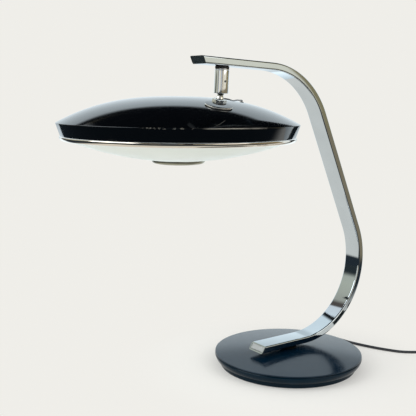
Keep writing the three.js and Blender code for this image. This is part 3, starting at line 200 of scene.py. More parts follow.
DISC_WALL = 1.2
DISC_BOSS = 7
DISC_GAP = 0.35
DISC_EDGE = 0.3
# The dish's underside: shares of its radius and of its depth
DISC_SHARES = [
    (1, 0), (0.995, 0.22), (0.98, 0.45), (0.93, 0.68), (0.85, 0.83), (0.74, 0.93), (0.6, 0.97), (0.3, 1),
]
ROD_RADIUS = 3
GROMMET_FROM_CENTRE = SHADE_RADIUS * 0.52
GROMMET_TURN = math.radians(50)
GROMMET_WAIST = 2.4
LEAD_RADIUS = 0.9
LEAD_DROP = 9.5
LEAD_TURN = math.radians(53)
LEAD_LIFTS = [(0.35, 4.6), (0.62, 3.4), (0.82, 2.6)]  # share of the way, height above the dome
LEAD_ARCH = 2.1
LEAD_STEP = 0.6
GROMMET_LIP = 1.4
GROMMET_RIM = 0.7
GROMMET_EDGE = 0.2

# Mains cord: the routes are measured from where the cord leaves the strain relief
CORD_RADIUS = 2.1
CORD_STEP = 2  # between the points of its path
CORD_ROUNDNESS = 5  # of a cord's section, as Blender counts it
RELIEF_BEARING = math.radians(47)
RELIEF_HEIGHT = 5.1
RELIEF_LENGTH = 26
RELIEF_ROOT = 3
RELIEF_TIP = 2.7
RELIEF_SHOULDER = 1.8
RELIEF_EDGE = 0.3
RELIEF_RIBS = 7
RIBS_FROM_BASE = 4
RIBS_FROM_TIP = 2
GROOVE = 0.45
GROOVE_SHARES = (0.3, 0.7)  # of a rib's length
GROOVE_FLOOR_SHARES = (0.25, 0.75)  # of a groove's width
FLEX_RADIUS = 1.7
NEAR_ROUTE = [
    (6.3, 6.6, 3.6), (14.5, 10.5, 2.4), (24.8, 10.2, 2.4), (35.6, 3.6, 2.4), (43.5, -7.8, 2.4),
    (48.7, -23.7, 2.4), (51.9, -42.2, 2.4), (54, -61.5, 2.4), (57, -80, 2.4), (62.4, -99.7, 2.4),
    (69.2, -118.7, 2.4), (77.5, -136.7, 2.4), (86.3, -154.2, 2.9), (95.5, -171, 5.2),
]
FAR_ROUTE = [
    (148.5, -252.2, 5.6), (156.3, -252.8, 3.9), (164.3, -249.4, 3.4), (171.9, -244.6, 3.3),
    (176.5, -242.6, 3.3),
]
FAR_END = (180.4, -241.8, 3.3)
SWITCH_AT = (122.9, -217.2)
SWITCH_HEADING = math.radians(-58)
SWITCH_LENGTH = 58
SWITCH_CORD = 8.7
SWITCH_LEAD = 7
COIL_MIDDLE = 24
COIL_PITCH = 4.75
COIL_LAYERS = 4
COIL_LAYER_TURNS = 2.25
COIL_TURN_STEPS = 48
COIL_RISE_TURNS = 0.5
COIL_BOTTOM = 1.2
COIL_START = math.radians(-90)
COIL_END_TURNS = 0.45
COIL_END_PITCHES = 2.2
COIL_OUT_SHARE = 0.8
COIL_DOWN_FROM = 0.3
PLUG_HEIGHT = 13.6

# Camera, as the photograph was taken: distance and height from the middle of the base
PICTURE_WIDTH = 416
SENSOR_WIDTH = 36
CLIP_END = 60  # metres
FOCAL_PIXELS = 753.71
CAMERA_DISTANCE = 1047.05
CAMERA_HEIGHT = 377.76
CAMERA_PITCH = math.radians(8.36)
CAMERA_YAW = math.radians(-6.41)
CAMERA_ROLL = math.radians(0.65)
ARM_AZIMUTH = math.radians(42.6)  # of the arm's plane, from the picture's right

# Studio. Places are to the picture's right, away from the camera and up, in metres.
BACKGROUND = (0.866, 0.855, 0.815)  # the photograph's pale backdrop
SOFT_LIGHT = (0.97, 0.98, 1)
SOFT_LEVEL = 0.75
FLOOR_REACH = 6
FLOOR_ROUGHNESS = 0.9
FLOOR_BLEND = (0.1, 0.24, 0.35, 1)  # from and to these distances, these shares of glow
# Lamps: their places, widths, watts and colours
LAMPS = {
    "window": ((-1.6, -0.7, 1.5), 1.4, 22, (0.93, 0.97, 1)),
    "fill": ((1.5, -0.9, 1.3), 1.4, 9, (1, 1, 1)),
}
LAMP_TARGET = (0, 0, 0.2)

# What only reflections see: a tall pale panel beyond the lamp, a dark ceiling, a window and a greenish wall
# on the left, a pale room with darker upright stripes behind the camera, a dim room on the right beyond the
# lamp, and a table that is dark far off and brown far to the right. Places in the rooms are cosines of the
# angle from the direction that their comment names.
MIRRORED_TWICE = 1.5  # a ray's glossy depth is 1 in a reflection, and 2 in a reflection's reflection
PANEL_AWAY = 0.6
PANEL_SIZE = (1.8, 0.92)
PANEL = (0.97, 1.09, 1.16)
# Heights on the panel and its brightness there; where that is 0 it has the ceiling's colour
PANEL_LEVELS = [
    (0, 0.82), (0.08, 1.05), (0.2, 1.25), (0.26, 0.72), (0.33, 0.76), (0.4, 1), (0.79, 1), (0.85, 0),
]
CEILING = (0.005, 0.006, 0.008)
CEILING_FROM = (0.5, 0.6)  # upwards
ROOM = (1, 0.95, 0.8)
ROOM_TOP = (0.3, 0.42)  # upwards, where the room behind the camera ends in the ceiling
# Stripes of that room: their middles towards the right, their half widths and colours
ROOM_STRIPES = [
    (0, 0.14, (0.5, 0.56, 0.64)), (0.3, 0.07, (0.1, 0.07, 0.08)), (0.62, 0.02, (0.3, 0.27, 0.22)),
]
RIGHT_ROOM = (0.33, 0.28, 0.16)
RIGHT_ROOM_FROM = (-0.09, -0.07)  # away
# The left side's colours, by their places towards the left
LEFT_ROOM = [
    (0.43, CEILING), (0.5, (0.95, 1.03, 1.1)), (0.635, (0.9, 0.95, 1)), (0.655, (0.12, 0.1, 0.09)),
    (0.7, (0.12, 0.1, 0.09)), (0.75, (0.5, 0.5, 0.44)), (0.93, (0.62, 0.64, 0.54)),
    (0.975, (0.6, 0.62, 0.54)), (0.99, (0.03, 0.04, 0.045)),
]
TABLE_REACH = (0.5, 0.68)  # the table turns dark between these distances
TABLE_NEAR = 0.3  # how much nearer that is on the camera's side
TABLE_RIGHT = 0.36  # and towards the right of the camera
TABLE_BEYOND = (0.025, 0.035, 0.045)
TABLE_BROWN = (0.3, 0.25, 0.17)
TABLE_BROWN_FROM = (0.7, 0.85)  # to the right


# Shared tools

def ease(share):
    """0 below 0 and 1 above 1, with a smooth rise between."""
    share = min(max(share, 0), 1)
    return share * share * (3 - 2 * share)


def lerp(a, b, share):
    return a + (b - a) * share


def polar(radius, angle, height=0):
    return Vector((radius * math.cos(angle), radius * math.sin(angle), height))


def finished(piece, body, replaced, look, mirrored=True):
    """The object in its material, riding on its body in place of the CAD nodes that it replaces."""
    piece.data.materials.append(LOOKS[look])
    piece.visible_glossy = mirrored
    bpy.context.scene.collection.objects.link(piece)
    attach(piece, body)
    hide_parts(*replaced)
    return piece


def add_mesh(name, mesh, body, replaced, look, mirrored=True):
    """A smooth piece of that mesh, which replaces one CAD node."""
    mesh.name = name
    mesh.polygons.foreach_set("use_smooth", [True] * len(mesh.polygons))
    mesh.set_sharp_from_angle(angle=SHARP)
    return finished(bpy.data.objects.new(name, mesh), body, [replaced], look, mirrored)


def mesh_of(points, faces, place=None):
    """A closed mesh with outward normals, from points in millimetres."""
    place = place or Matrix()
    mesh = bpy.data.meshes.new("mesh")
    mesh.from_pydata([(place @ Vector(p)) * MM for p in points], [], faces)
    work = bmesh.new()
    work.from_mesh(mesh)
    bmesh.ops.recalc_face_normals(work, faces=work.faces)
    work.to_mesh(mesh)
    work.free()
    return mesh


def bored(mesh, *tools):
    """The mesh with the tools' meshes cut out of it."""
    piece = bpy.data.objects.new("work", mesh)
    bpy.context.scene.collection.objects.link(piece)
    cutters = []
    for tool in tools:
        cutter = bpy.data.objects.new("tool", tool)
        bpy.context.scene.collection.objects.link(cutter)
        step = piece.modifiers.new("cut", "BOOLEAN")
        step.operation, step.solver, step.object = "DIFFERENCE", "EXACT", cutter
        cutters.append(cutter)
    done = bpy.data.meshes.new_from_object(piece.evaluated_get(bpy.context.evaluated_depsgraph_get()))
    for thing in [piece, *cutters]:
        bpy.data.objects.remove(thing)
    return done


def rounded(profile, reach, closed=True, steps=ROUNDING_STEPS):
    """The profile with each of its corners turned into a small curve that begins reach from it."""
    path = []
    for k, corner in enumerate(profile):
        ends = not closed and k in (0, len(profile) - 1)
        here, before = Vector(corner), Vector(profile[k - 1])
        after = Vector(profile[(k + 1) % len(profile)])
        if ends or corner[0] == 0 or (before - here).angle(here - after) < SHARP / 2:
            path.append(tuple(here))
            continue
        near = min(reach, *(ROUNDING_SHARE * (at - here).length for at in (before, after)))
        start = here + (before - here).normalized() * near
        stop = here + (after - here).normalized() * near
        for j in range(steps + 1):
            t = j / steps
            path.append(tuple(start * (1 - t) ** 2 + here * 2 * t * (1 - t) + stop * t * t))
    return path


def turned(profile, steps=ROUND, place=None):
    """A mesh turned round Z from its closed section of radius and height pairs."""
    points, faces, rings = [], [], []
    for radius, height in profile:
        if radius == 0:
            rings.append([len(points)] * steps)
            points.append((0, 0, height))
            continue
        rings.append(list(range(len(points), len(points) + steps)))
        points += [polar(radius, 2 * math.pi * k / steps, height) for k in range(steps)]
    for low, high in zip(rings, rings[1:] + rings[:1]):
        for k in range(steps):
            j = (k + 1) % steps
            corners = tuple(dict.fromkeys((low[k], low[j], high[j], high[k])))
            if len(corners) > 2:
                faces.append(corners)
    return mesh_of(points, faces, place)


def rod(radius, start, end, steps=ROUND, place=None):
    """A plain round cutter between two heights."""
    return turned([(0, start), (radius, start), (radius, end), (0, end)], steps, place)


def lofted(rings, place=None, ends=True):
    """A mesh through rings of points, all of one length: with a face on each end, or joined end to end."""
    steps, count = len(rings[0]), len(rings)
    points = [point for ring in rings for point in ring]
    faces = []
    for k in range(count - 1 if ends else count):
        here, beyond = k * steps, (k + 1) % count * steps
        for n in range(steps):
            m = (n + 1) % steps
            faces.append((here + n, here + m, beyond + m, beyond + n))
    if ends:
        faces.append(tuple(reversed(range(steps))))
        faces.append(tuple(range((count - 1) * steps, count * steps)))
    return mesh_of(points, faces, place)


def rounded_box(size_x, size_y, corner):
    """Points round a rectangle with rounded corners."""
    points = []
    for quarter, (x, y) in enumerate(((1, 1), (-1, 1), (-1, -1), (1, -1))):
        for k in range(CORNER_STEPS + 1):
            angle = (quarter + k / CORNER_STEPS) * math.pi / 2
            points.append((
                x * (size_x / 2 - corner) + corner * math.cos(angle),
                y * (size_y / 2 - corner) + corner * math.sin(angle),
            ))
    return points


def flat_faces_kept(piece):
    """Keeps large flat faces flat beside small rounded corners."""
    step = piece.modifiers.new("flats", "WEIGHTED_NORMAL")
    step.keep_sharp = True


def sideways(height, bearing):
    """A frame at a height on Z, whose own Z points outwards at that bearing."""
    turn = Matrix.Rotation(bearing, 4, "Z") @ Matrix.Rotation(math.pi / 2, 4, "Y")
    return Matrix.Translation((0, 0, height)) @ turn


def smooth_path(points, step=CORD_STEP):
    """Points about every step millimetres along the centripetal spline through the given ones."""
    knots = [Vector(p) for p in points]
    knots = [2 * knots[0] - knots[1]] + knots + [2 * knots[-1] - knots[-2]]
    path = []
    for a, b, c, d in zip(knots, knots[1:], knots[2:], knots[3:]):
        t1 = math.sqrt((b - a).length)
        t2 = t1 + math.sqrt((c - b).length)
        t3 = t2 + math.sqrt((d - c).length)
        count = max(2, round((c - b).length / step))
        for k in range(count):
            t = lerp(t1, t2, k / count)
            ab, bc, cd = a.lerp(b, t / t1), b.lerp(c, (t - t1) / (t2 - t1)), c.lerp(d, (t - t2) / (t3 - t2))
            abc, bcd = ab.lerp(bc, t / t2), bc.lerp(cd, (t - t1) / (t3 - t1))
            path.append(abc.lerp(bcd, (t - t1) / (t2 - t1)))
    path.append(knots[-2])
    return path


def cord_curve(name, path, radius):
    curve = bpy.data.curves.new(name, "CURVE")
    curve.dimensions = "3D"
    curve.bevel_depth = radius * MM
    curve.bevel_resolution = CORD_ROUNDNESS
    curve.use_fill_caps = True
    spline = curve.splines.new("POLY")
    spline.points.add(len(path) - 1)
    for point, at in zip(spline.points, path):
        point.co = (*(at * MM), 1)
    spline.use_smooth = True
    return bpy.data.objects.new(name, curve)


# Places, worked out as the part works them out

PLATE_TOP = BASE_EDGE + BASE_CROWN
ARM_UNDERSIDE = PLATE_TOP + FOOT_GAP
ARM_FOOT_Z = ARM_UNDERSIDE + ARM_THICKNESS / 2
ARM_RUNS = [
    (FOOT_RUN, 0), (BEND_RADIUS * LEAN_HEADING, LEAN_HEADING), (LEAN_RUN, 0),
    (BEND_RADIUS * (BAR_HEADING - LEAN_HEADING), BAR_HEADING - LEAN_HEADING), (BAR_RUN, 0),
]
ARM_LENGTH = sum(length for length, _ in ARM_RUNS)
TUBE_LENGTH = ARM_LENGTH - CAP_LENGTH


def arm_at(s):
    """Place and heading of the arm's centreline at a distance from the foot's end."""
    x, z, heading, left = FOOT_X, ARM_FOOT_Z, 0, s
    for length, turn in ARM_RUNS:
        last = (length, turn) == ARM_RUNS[-1]
        step = left if last else min(left, length)
        if turn == 0:
            x += step * math.cos(heading)
            z += step * math.sin(heading)
        else:
            ahead = heading + turn * step / length
            x += BEND_RADIUS * (math.sin(ahead) - math.sin(heading))
            z += BEND_RADIUS * (math.cos(heading) - math.cos(ahead))
            heading = ahead
        left -= step
        if left <= 0:
            break
    return x, z, heading


def bar_frame(s, drop):
    """A frame on the top bar: its Z points out of the bar's upper side, its X back towards the bend."""
    x, z, heading = arm_at(s)
    at = Vector((x - drop * math.sin(heading), 0, z + drop * math.cos(heading)))
    return Matrix.Translation(at) @ Matrix.Rotation(math.pi - heading, 4, "Y")


def dome_height(radius):
    """The dome's height over the saucer's crease, that far from its middle."""
    return DOME_RISE * (1 - (radius / SHADE_RADIUS) ** DOME_POWER)


def dome_frame(from_centre, turn):
    """A frame on the dome, in the shade's: its Z is the surface's normal, its X points down the slope."""
    slope = DOME_RISE * DOME_POWER * (from_centre / SHADE_RADIUS) ** (DOME_POWER - 1) / SHADE_RADIUS
    at = polar(from_centre, turn, dome_height(from_centre))
    return Matrix.Translation(at) @ Matrix.Rotation(turn, 4, "Z") @ Matrix.Rotation(math.atan(slope), 4, "Y")


STEM_TOP = -3 * SEAT - WASHER - STEM_RING
STEM_FOOT = STEM_TOP - STEM_LENGTH
BALL_Z = STEM_FOOT + BALL_LIFT
STEM = bar_frame(ARM_LENGTH - BAR_RUN + STEM_FROM_BEND, ARM_THICKNESS / 2)
NECK_IN_SHADE = dome_frame(JOINT_FROM_CENTRE, 0)
GROMMET_IN_SHADE = dome_frame(GROMMET_FROM_CENTRE, GROMMET_TURN)
SHADE_TURN = Matrix.Rotation(SHADE_BEARING + math.pi, 4, "Z")
BALL = STEM @ Vector((0, 0, BALL_Z))
SHADE = Matrix.Translation(BALL - SHADE_TURN @ (NECK_IN_SHADE @ Vector((0, 0, NECK_DROP)))) @ SHADE_TURN
NECK = SHADE @ NECK_IN_SHADE
GROMMET = SHADE @ GROMMET_IN_SHADE
TIP = bar_frame(ARM_LENGTH, 0)


def plate_height(radius):
    return BASE_EDGE + BASE_CROWN * (1 - (radius / BASE_RADIUS) ** 2)


def from_base(radius, height):
    return polar(radius, RELIEF_BEARING, height)


CORD_START = PAN_SHOULDER_RADIUS + RELIEF_LENGTH + SEAT


def from_tip(point):
    """A point given from where the cord starts, with its height over the table."""
    return from_base(CORD_START, 0) + Vector(point)


SWITCH = from_tip((*SWITCH_AT, 0))


def switch_point(side, lead):
    """A point on the cord's line by the switch: side is -1 towards the base, 1 towards the coil."""
    reach = side * (SWITCH_LENGTH / 2 + SEAT + lead)
    return SWITCH + polar(reach, SWITCH_HEADING, SWITCH_CORD)


COIL_OUTER = COIL_MIDDLE + COIL_LAYER_TURNS * COIL_PITCH / 2
COIL_LAYERED = COIL_LAYERS * COIL_LAYER_TURNS
COIL = from_tip((FAR_END[0] + SEAT + 2 * CORD_RADIUS, FAR_END[1] + COIL_OUTER, 0))


def coil_point(turns):
    """The cord's place after that many turns: in and out by layers, and last out and down to the plug."""
    layer = min(int(turns / COIL_LAYER_TURNS), COIL_LAYERS - 1)
    within = turns - layer * COIL_LAYER_TURNS
    inwards = within if layer % 2 == 0 else COIL_LAYER_TURNS - within
    radius = COIL_OUTER - COIL_PITCH * max(inwards, 0)
    height = COIL_BOTTOM + CORD_RADIUS
    for k in range(1, COIL_LAYERS):
        height += COIL_PITCH * ease((turns - k * COIL_LAYER_TURNS) / COIL_RISE_TURNS + 0.5)
    if turns > COIL_LAYERED:
        share = (turns - COIL_LAYERED) / COIL_END_TURNS
        radius = COIL_OUTER + COIL_PITCH * COIL_END_PITCHES * ease(share / COIL_OUT_SHARE)
        plug_axis = PLUG_HEIGHT / 2 + SEAT
        height = lerp(height, plug_axis, ease((share - COIL_DOWN_FROM) / (1 - COIL_DOWN_FROM)))
    return COIL + polar(radius, COIL_START + 2 * math.pi * turns, height)


def coil_path():
    """The coil's points, with a short level stretch at each end."""
    turns = COIL_LAYERED + COIL_END_TURNS
    count = round(turns * COIL_TURN_STEPS)
    path = [coil_point(turns * k / count) for k in range(count + 1)]

    def straight_on(before, end):
        along = (end - before) * Vector((1, 1, 0))
        return end + along.normalized() * 2 * CORD_RADIUS

    return [straight_on(path[1], path[0]), *path, straight_on(path[-2], path[-1])]


# Camera and cords

PICTURE_TURN = Matrix.Rotation(-ARM_AZIMUTH, 4, "Z")
TO_RIGHT, AWAY, UP = PICTURE_TURN @ Vector((1, 0, 0)), PICTURE_TURN @ Vector((0, 1, 0)), Vector((0, 0, 1))


def add_camera():
    camera = bpy.data.objects.new("camera", bpy.data.cameras.new("camera"))
    camera.data.sensor_width = SENSOR_WIDTH
    camera.data.lens = FOCAL_PIXELS / PICTURE_WIDTH * SENSOR_WIDTH
    camera.data.clip_end = CLIP_END
    place = PICTURE_TURN @ Matrix.Translation(Vector((0, -CAMERA_DISTANCE, CAMERA_HEIGHT)) * MM)
    turn = Matrix.Rotation(-CAMERA_YAW, 4, "Z") @ Matrix.Rotation(math.pi / 2 - CAMERA_PITCH, 4, "X")
    camera.matrix_world = place @ turn @ Matrix.Rotation(CAMERA_ROLL, 4, "Z")
    bpy.context.scene.collection.objects.link(camera)
    bpy.context.scene.camera = camera


def add_cords():
    near = smooth_path([
        from_base(CORD_START, RELIEF_HEIGHT), *map(from_tip, NEAR_ROUTE), switch_point(-1, SWITCH_LEAD),
        switch_point(-1, 0),
    ])
    far = smooth_path([
        switch_point(1, 0), switch_point(1, SWITCH_LEAD), *map(from_tip, FAR_ROUTE), from_tip(FAR_END),
    ]) + coil_path()
    on_near = ["switch_lower", "switch_upper", "switch_rocker", "rocker_pin"]
    on_far = ["plug_body", "plug_pin_1", "plug_pin_2", "coil_tie"]
    for name, path, replaced, end, lay, carried in (
        ("lead_to_switch", near, ["mains_cord_near"], "fitting", "loose", on_near),
        ("lead_to_plug", far, ["mains_cord_far", "cord_coil"], "plug", "coiled", on_far),
    ):
        piece = finished(cord_curve(name, path, CORD_RADIUS), "base", replaced, "cable")


# Base

def base_top():
    hole = PIVOT_RADIUS + SLIP
    rings = [BASE_RADIUS * k / PLATE_STEPS for k in range(PLATE_STEPS, 0, -1)]
    radii = [r for r in rings if r > hole + BASE_RADIUS / PLATE_STEPS]
    upper = [(r, plate_height(r)) for r in [*radii, hole]]
    profile = upper + [(r, z - PLATE) for r, z in reversed(upper)]
    add_mesh("base_plate", turned(rounded(profile, PLATE_EDGE), WIDE), "base", "base_top", "satin_black")


def base_band():
    outer = [(BASE_RADIUS + r, z) for r, z in BAND]
    start = PAN_RIM_RADIUS + SLIP
    radius, foot = outer[-1]
    lip = foot + BAND_LIP
    inner = [(r - BAND_WALL, z) for r, z in reversed(outer[:-1]) if z > lip + BAND_LIP]
    profile = rounded([*outer, (start, foot), (start, lip), (radius - BAND_WALL, lip), *inner], BAND_EDGE)
    add_mesh("base_skirt", turned(profile, WIDE), "base", "base_band", "skirt_black")


def base_pan():
    floor = FELT + SEAT
    hub_top = floor + HUB_RISE + PAN_WALL
    hole = PIVOT_RADIUS + SLIP
    wall = PAN_RADIUS - PAN_WALL
    rim = PAN_RIM_RADIUS - PAN_WALL
    profile = [
        (hole, hub_top - PAN_WALL), (HUB_RADIUS - PAN_WALL, hub_top - PAN_WALL), (HUB_RADIUS, floor),
        (wall, floor), (wall, PAN_LIFT), (PAN_RADIUS, PAN_LIFT), (PAN_SHOULDER_RADIUS, PAN_SHOULDER),
        (PAN_RIM_RADIUS, PAN_SHOULDER), (PAN_RIM_RADIUS, PAN_RIM), (rim, PAN_RIM), (rim, floor + PAN_FLOOR),
        (HUB_RADIUS + PAN_WALL, floor + PAN_FLOOR), (HUB_RADIUS, hub_top), (hole, hub_top),
    ]
    outwards = sideways(RELIEF_HEIGHT, RELIEF_BEARING)
    start, stop = PAN_RADIUS - HUB_RADIUS / 2, PAN_RADIUS + HUB_RADIUS
    hole_for_cord = rod(RELIEF_ROOT + SEAT, start, stop, place=outwards)
    mesh = bored(turned(rounded(profile, PAN_EDGE), WIDE), hole_for_cord)
    add_mesh("base_plinth", mesh, "base", "base_pan", "skirt_black")


def base_felt():
    profile = rounded([(0, 0), (FELT_RADIUS, 0), (FELT_RADIUS, FELT), (0, FELT)], FELT_EDGE)
    add_mesh("base_pad", turned(profile, WIDE), "base", "base_felt", "felt")


def cord_relief():
    """A tapered sleeve with grooves across it, which lets the cord bend where it leaves the base."""
    root = PAN_RIM_RADIUS - PAN_WALL - SEAT - SLIP - RELIEF_SHOULDER
    tip = CORD_START - SEAT
    first, last = tip - RELIEF_LENGTH + RIBS_FROM_BASE, tip - RIBS_FROM_TIP
    profile = [(FLEX_RADIUS, root), (RELIEF_ROOT, root), (RELIEF_ROOT, first)]
    for k in range(RELIEF_RIBS):
        start, stop = (lerp(first, last, (k + share) / RELIEF_RIBS) for share in GROOVE_SHARES)
        radius = lerp(RELIEF_ROOT, RELIEF_TIP, (k + 0.5) / RELIEF_RIBS)
        floor = [(radius - GROOVE, lerp(start, stop, share)) for share in GROOVE_FLOOR_SHARES]
        profile += [(radius, start), *floor, (radius, stop)]
    profile += [(RELIEF_TIP, tip), (FLEX_RADIUS, tip)]
    mesh = turned(rounded(profile, RELIEF_EDGE), THIN, sideways(RELIEF_HEIGHT, RELIEF_BEARING))
    add_mesh("cord_sleeve", mesh, "base", "cord_relief", "rubber")


def foot_spacer():
    start, stop = PLATE_TOP + SEAT, ARM_UNDERSIDE - SEAT
    bore = PIVOT_RADIUS + SEAT
    waist = [(SPACER_RADIUS - SPACER_WAIST, lerp(start, stop, share)) for share in SPACER_WAIST_SHARES]
    profile = [(bore, start), (SPACER_RADIUS, start), *waist, (SPACER_RADIUS, stop), (bore, stop)]
    mesh = turned(rounded(profile, SPACER_EDGE))
    add_mesh("swivel_collar", mesh, "base", "foot_spacer", "dark_plastic")


# Arm

def section(inwards, corner):
    """Points round the arm's section, that far in from its faces: across its thickness and its width."""
    return rounded_box(ARM_THICKNESS - 2 * inwards, ARM_WIDTH - 2 * inwards, corner)


def arm_ring(s, points, slant=0):
    """The section's points at s along the arm; slant moves its inner side that much further on."""
    ring = []
    for inwards, y in points:
        x, z, heading = arm_at(max(s + slant * (inwards / ARM_THICKNESS + 0.5), 0))
        ring.append((x - inwards * math.sin(heading), y, z + inwards * math.cos(heading)))
    return ring


def arm_stations():
    """Distances along the arm, close together in its bends."""
    stations, start = [], 0
    for length, turn in ARM_RUNS:
        count = max(RUN_STEPS, round(math.degrees(turn) / BEND_STEP))
        stations += [start + length * k / count for k in range(count)]
        start += length
    first, last = FOOT_SLANT + END_ROOM, TUBE_LENGTH - CAP_SEAM_SLANT - END_ROOM
    return [s for s in stations if first < s < last]


def arm_tube():
    stations = arm_stations()
    skins = []
    for inwards, corner in ((0, ARM_CORNER), (ARM_WALL, ARM_INNER_CORNER)):
        points = section(inwards, corner)
        foot = arm_ring(0, points, FOOT_SLANT)
        tip = arm_ring(TUBE_LENGTH, points, -CAP_SEAM_SLANT)
        skins.append([foot, *(arm_ring(s, points) for s in stations), tip])
    outer, inner = skins
    pivot = rod(BUSH_RADIUS + SLIP, ARM_UNDERSIDE - OVERRUN, ARM_FOOT_Z)
    bolt = rod(BOLT_RADIUS + SLIP, -OVERRUN, ARM_THICKNESS / 2, place=STEM)
    mesh = bored(lofted(outer + inner[::-1], ends=False), pivot, bolt)
    flat_faces_kept(add_mesh("arm_body", mesh, "arm", "arm_tube", "chrome"))


def end_ring(x, slant, inwards, corner):
    """The section's points in a plane across X; slant moves its upper side that much further on."""
    return [(x + slant * (up / ARM_THICKNESS + 0.5), y, up) for up, y in section(inwards, corner)]


def tip_cap():
    """The black end of the arm, with its slanted face."""
    back, inwards = CAP_EDGE
    rings = [
        end_ring(TIP_SLANT, -TIP_SLANT, inwards, ARM_CORNER - inwards),
        end_ring(TIP_SLANT + back, -TIP_SLANT, 0, ARM_CORNER),
        end_ring(CAP_SEAM_SLANT + CAP_LENGTH - CAP_GAP, -CAP_SEAM_SLANT, 0, ARM_CORNER),
    ]
    flat_faces_kept(add_mesh("arm_cap", lofted(rings, TIP), "arm", "tip_cap", "black_plastic"))


def foot_end_plug():
    """The pale plug in the arm's foot, just inside the tube's slanted end."""
    clear = ARM_WALL + SEAT
    back, inwards = PLUG_EDGE
    face = FOOT_X + PLUG_RECESS
    rings = [
        end_ring(face, FOOT_SLANT, clear + inwards, PLUG_CORNER),
        end_ring(face + back, FOOT_SLANT, clear, PLUG_CORNER),
        end_ring(FOOT_X + PLUG_LENGTH, FOOT_SLANT, clear, PLUG_CORNER),
    ]
    mesh = lofted(rings, Matrix.Translation((0, 0, ARM_FOOT_Z)))
    flat_faces_kept(add_mesh("foot_plug", mesh, "arm", "foot_end_plug", "grey_plug"))


# Stem and neck

def washer_section(bore, radius, top, height):
    return [(bore, top), (radius, top), (radius, top - height), (bore, top - height)]


def stem_pieces():
    """The washer, ring and sleeve under the arm. The dome shows no picture of the sleeve."""
    bore = BOLT_RADIUS + SEAT
    gasket = washer_section(bore, WASHER_RADIUS, -SEAT, WASHER)
    mesh = turned(rounded(gasket, WASHER_EDGE), place=STEM)
    add_mesh("stem_gasket", mesh, "arm", "stem_washer", "rubber")
    collar = washer_section(bore, STEM_RADIUS, -2 * SEAT - WASHER, STEM_RING)
    mesh = turned(rounded(collar, STEM_RING_EDGE), place=STEM)
    add_mesh("stem_collar", mesh, "stem", "stem_ring", "polished")
    bolt = BOLT_RADIUS + SLIP
    roof = STEM_TOP - STEM_ROOF
    lip_foot = math.sqrt(POCKET_RADIUS ** 2 - BALL_LIFT ** 2)
    lip_top = math.sqrt(POCKET_RADIUS ** 2 - (BALL_LIFT - LIP) ** 2)
    sleeve = rounded([
        (bolt, STEM_TOP), (STEM_RADIUS, STEM_TOP), (STEM_RADIUS, STEM_FOOT), (lip_foot, STEM_FOOT),
        (lip_top, STEM_FOOT + LIP), (STEM_BORE, BALL_Z), (STEM_BORE, roof), (bolt, roof),
    ], STEM_EDGE)
    outwards = STEM @ sideways(STEM_TOP - SCREW_DROP, SCREW_BEARING)
    hole = rod(SCREW_HOLE, STEM_RADIUS / 2, 2 * STEM_RADIUS, HOLE, outwards)
    mesh = bored(turned(sleeve, place=STEM), hole)
    add_mesh("stem_sleeve", mesh, "stem", "stem_tube", "polished", mirrored=False)


def neck():
    """The ball with its neck, the flange and the nut. The dome shows no picture of the neck and the nut."""
    meets = math.asin(NECK_RADIUS / BALL_RADIUS)
    stop = math.pi - math.asin(NECK_BORE / BALL_RADIUS)
    ball = []
    for k in range(BALL_STEPS + 1):
        angle = lerp(meets, stop, k / BALL_STEPS)
        ball.append((BALL_RADIUS * math.sin(angle), NECK_DROP - BALL_RADIUS * math.cos(angle)))
    shank = NUT_LIFT + NUT_HEIGHT
    body = rounded([
        (NECK_BORE, -NECK_TAIL), (THREAD_RADIUS, -NECK_TAIL), (THREAD_RADIUS, shank),
        (COLLAR_RADIUS, shank + SEAT), (COLLAR_RADIUS, NECK_DROP - COLLAR_DROP),
        (NECK_RADIUS, NECK_DROP - WAIST_DROP),
    ], NECK_EDGE, closed=False) + ball
    outwards = NECK @ sideways(NECK_DROP - LEAD_DROP, LEAD_TURN)
    mesh = bored(turned(body, place=NECK), rod(LEAD_RADIUS + SEAT, 0, STEM_RADIUS, LEAD_HOLE, outwards))
    add_mesh("joint_neck", mesh, "shade", "ball_neck", "nickel", mirrored=False)
    bore = THREAD_RADIUS + SEAT
    flange = rounded([
        (bore, SEAT + FLANGE_HOLLOW), (FLANGE_RADIUS, SEAT), (FLANGE_RADIUS, FLANGE), (bore, SEAT + FLANGE),
    ], FLANGE_EDGE)
    mesh = turned(flange, place=NECK)
    plate = add_mesh("neck_plate", mesh, "shade", "neck_flange", "flange_metal")
    plate.data.materials.append(LOOKS["black_lacquer"])
    axis = NECK.to_3x3() @ UP
    for face in plate.data.polygons:
        on_top = face.normal.dot(axis) > FLANGE_TOP_COSINE
        face.material_index = int(on_top)  # its top is lacquered, its rim is bright
    mesh = hex_nut(NUT_CORNER, bore, NUT_LIFT, shank, NECK)
    add_mesh("neck_hexagon", mesh, "shade", "neck_nut", "nickel", mirrored=False)


def hex_nut(corner, bore, bottom, top, place):
    """A hexagon nut whose corners are cut back by a cone at each end."""
    flat = corner * math.cos(math.pi / NUT_SIDES)
    angles = [2 * math.pi * k / (NUT_SIDES * NUT_SIDE_STEPS) for k in range(NUT_SIDES * NUT_SIDE_STEPS)]

    def circle(radius, height):
        return [polar(radius, angle, height) for angle in angles]

    def outline(end, inwards):
        """The cut corners' edge, inwards from an end of the nut: 1 is up and -1 is down."""
        points = []
        for k, angle in enumerate(angles):
            from_flat = (k % NUT_SIDE_STEPS / NUT_SIDE_STEPS - 0.5) * 2 * math.pi / NUT_SIDES
            reach = flat / math.cos(from_flat)
            cut = NUT_RIM + (reach - flat) * math.tan(NUT_CONE)
            points.append(polar(reach, angle, end + inwards * cut))
        return points

    rings = [
        circle(bore, bottom), circle(flat, bottom), outline(bottom, 1), outline(top, -1), circle(flat, top),
        circle(bore, top),
    ]
    return lofted(rings, place, ends=False)


